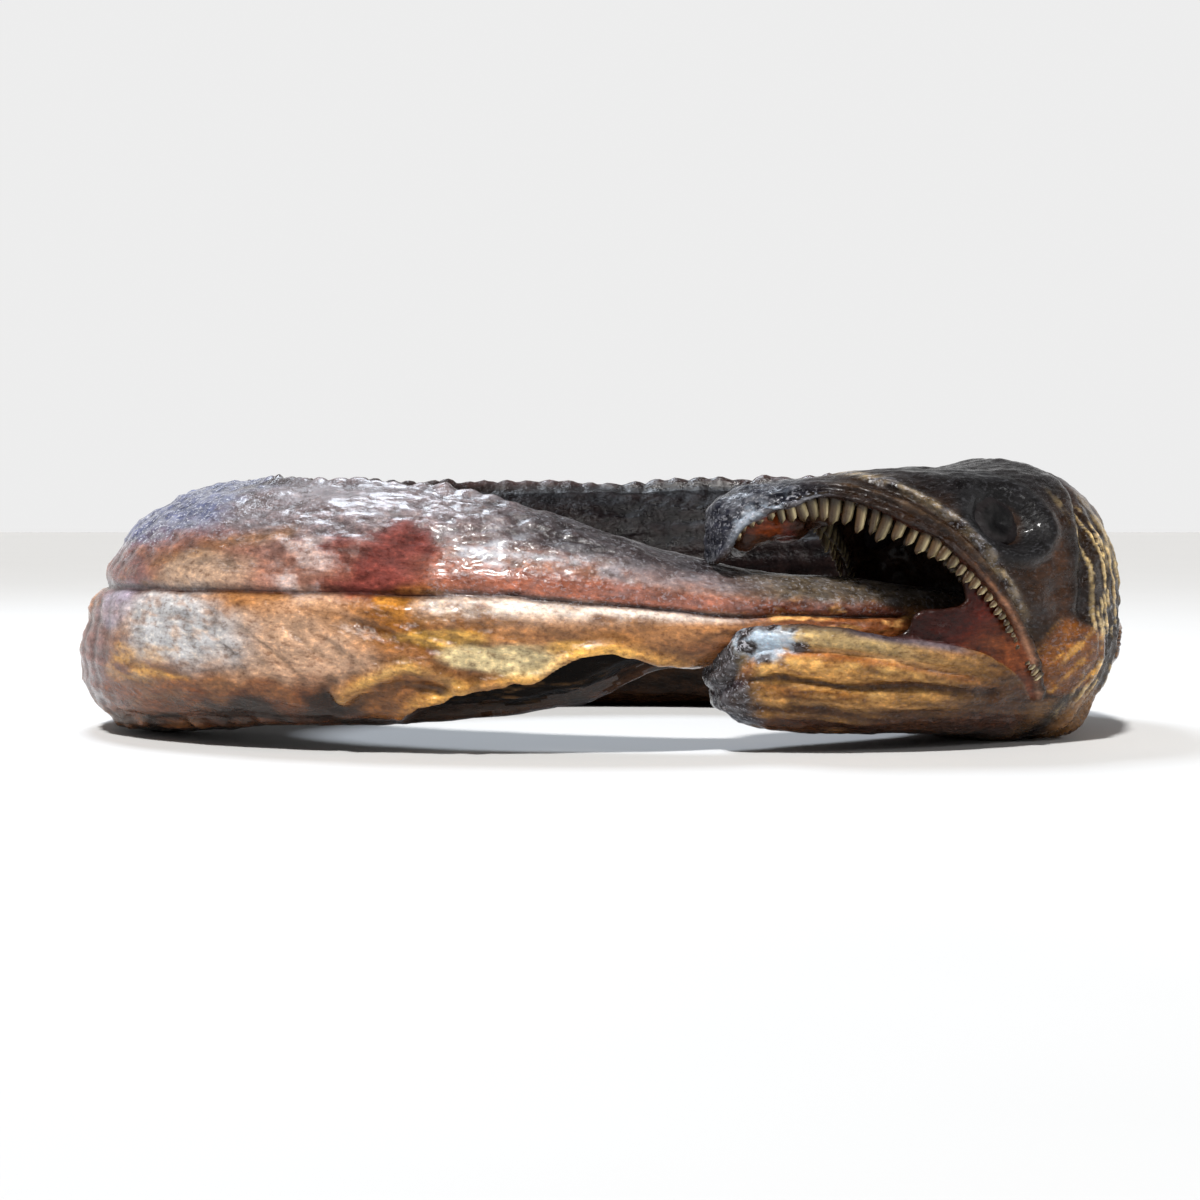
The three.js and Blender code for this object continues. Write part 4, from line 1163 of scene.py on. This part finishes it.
def make_eyes(materials):
    """The shrunken, wrinkled eyeballs, deep in their sockets."""
    ball, bulge, sunk = 4.7, 2.0, 3.3
    rings, around = 40, 72
    polar = np.linspace(0.02, math.pi - 0.02, rings)[:, None]
    turn = np.linspace(0, 2 * math.pi, around, endpoint=False)[None, :]
    x = (np.sin(polar) * np.cos(turn)).ravel()
    z = (np.sin(polar) * np.sin(turn)).ravel()
    out = np.broadcast_to(np.cos(polar), (rings, around)).ravel()
    tilt = math.radians(EYE_UP_DEG)
    for side, name in ((1, "near_eye"), (-1, "far_eye")):
        lumps = 1 + 0.10 * rough(151 + side, 3, x * 1.6, z * 1.6, out * 2)
        dent = 0.55 * bump(np.hypot(x - 0.15, z + 0.1), 0, 0.4)
        w, h = socket_centre((out * lumps - dent) * bulge - sunk)
        up = z * ball * lumps
        points = np.column_stack([
            EYE_U + x * ball * lumps, side * (w - up * math.sin(tilt)), h + up * math.cos(tilt),
        ])
        faces = grid_faces(rings, around)
        if side > 0:
            faces = faces[:, ::-1]
        paint = Paint(len(points), (26, 22, 23))
        paint.coat((10, 9, 10), smooth(np.hypot(x, z), 0.62, 0.5) * (out > 0))
        make_piece(name, points, faces, paint.tint, materials)


# ---- The scene ---------------------------------------------------------------------------------------

def make_floor():
    half = 3.0
    mesh = bpy.data.meshes.new("floor")
    corners = [(-half, -half, 0), (half, -half, 0), (half, half, 0), (-half, half, 0)]
    mesh.from_pydata(corners, [], [(0, 1, 2, 3)])
    mesh.materials.append(floor_material())
    add_object("floor", mesh)


def aim(item, place, target):
    """Puts a light or the camera at a place and points it at the target."""
    item.location = place
    item.rotation_euler = (Vector(target) - Vector(place)).to_track_quat("-Z", "Y").to_euler()


def make_light(name, kind, place, target, power, colour, **settings):
    data = bpy.data.lights.new(name, kind)
    data.energy = power
    data.color = colour
    for key, value in settings.items():
        setattr(data, key, value)
    aim(add_object(name, data), place, target)


def make_lights():
    """A distant key light, and two soft discs of light behind and beside the fish."""
    warm, cool, white = (1, 0.985, 0.96), (0.82, 0.9, 1), (1, 1, 1)
    middle = (0, 0, 0.02)
    make_light("key", "SUN", (-0.16, -0.52, 0.8), (0, 0, 0), 4.1, warm, angle=math.radians(6))
    make_light("back", "AREA", (-0.16, 0.22, 0.5), middle, 2.2, cool, shape="DISK", size=0.18)
    make_light("side", "AREA", (0.5, -0.3, 0.3), middle, 0.5, white, shape="DISK", size=0.12)


def make_world():
    """A pale backdrop all round, brightest behind the fish, and a dimmer ceiling."""
    world = bpy.data.worlds.new("studio")
    world.use_nodes = True
    tree = world.node_tree
    direction = tree.nodes.new("ShaderNodeTexCoord").outputs["Generated"]
    parts = tree.nodes.new("ShaderNodeSeparateXYZ")
    tree.links.new(direction, parts.inputs[0])
    strength = tree.nodes.new("ShaderNodeMath")
    strength.operation = "MULTIPLY"
    ramps = (("Y", -0.4, 0.8, 0.34, 0.85), ("Z", 0.2, 0.5, 1.0, 0.3))
    for socket, (output, low, high, to_low, to_high) in zip(strength.inputs, ramps):
        ramp = tree.nodes.new("ShaderNodeMapRange")
        ramp.interpolation_type = "SMOOTHSTEP"
        tree.links.new(parts.outputs[output], ramp.inputs["Value"])
        for key, value in (("From Min", low), ("From Max", high), ("To Min", to_low), ("To Max", to_high)):
            ramp.inputs[key].default_value = value
        tree.links.new(ramp.outputs["Result"], socket)
    background = tree.nodes["Background"]
    background.inputs["Color"].default_value = (1, 1, 1, 1)
    tree.links.new(strength.outputs[0], background.inputs["Strength"])
    bpy.context.scene.world = world
    bpy.context.scene.view_settings.view_transform = "Standard"


def make_camera():
    """A camera two degrees above the fish, as in the photograph; its view is 208 mm wide there."""
    distance, view_width, sensor = 0.43, 0.208, 36
    elevation = math.radians(2.2)
    target = Vector((0, 0, 0.0215))
    data = bpy.data.cameras.new("camera")
    data.sensor_width = sensor
    data.lens = sensor * distance / view_width
    camera = add_object("camera", data)
    aim(camera, target + Vector((0, -math.cos(elevation), math.sin(elevation))) * distance, target)
    bpy.context.scene.camera = camera


make_camera()
make_world()
make_lights()
make_floor()
oily_skin = skin_material("smoked_skin", ior=1.38, oil=0.22)
dry_skin = skin_material("dry_skin", ior=1.16, oil=0.0)
head_skin = skin_material("head_skin", ior=1.25, oil=0.14)
make_trunk([oily_skin, dry_skin])
make_breast_fins([oily_skin])
make_head([head_skin])
make_teeth([tooth_material()])
make_eyes([eye_material()])
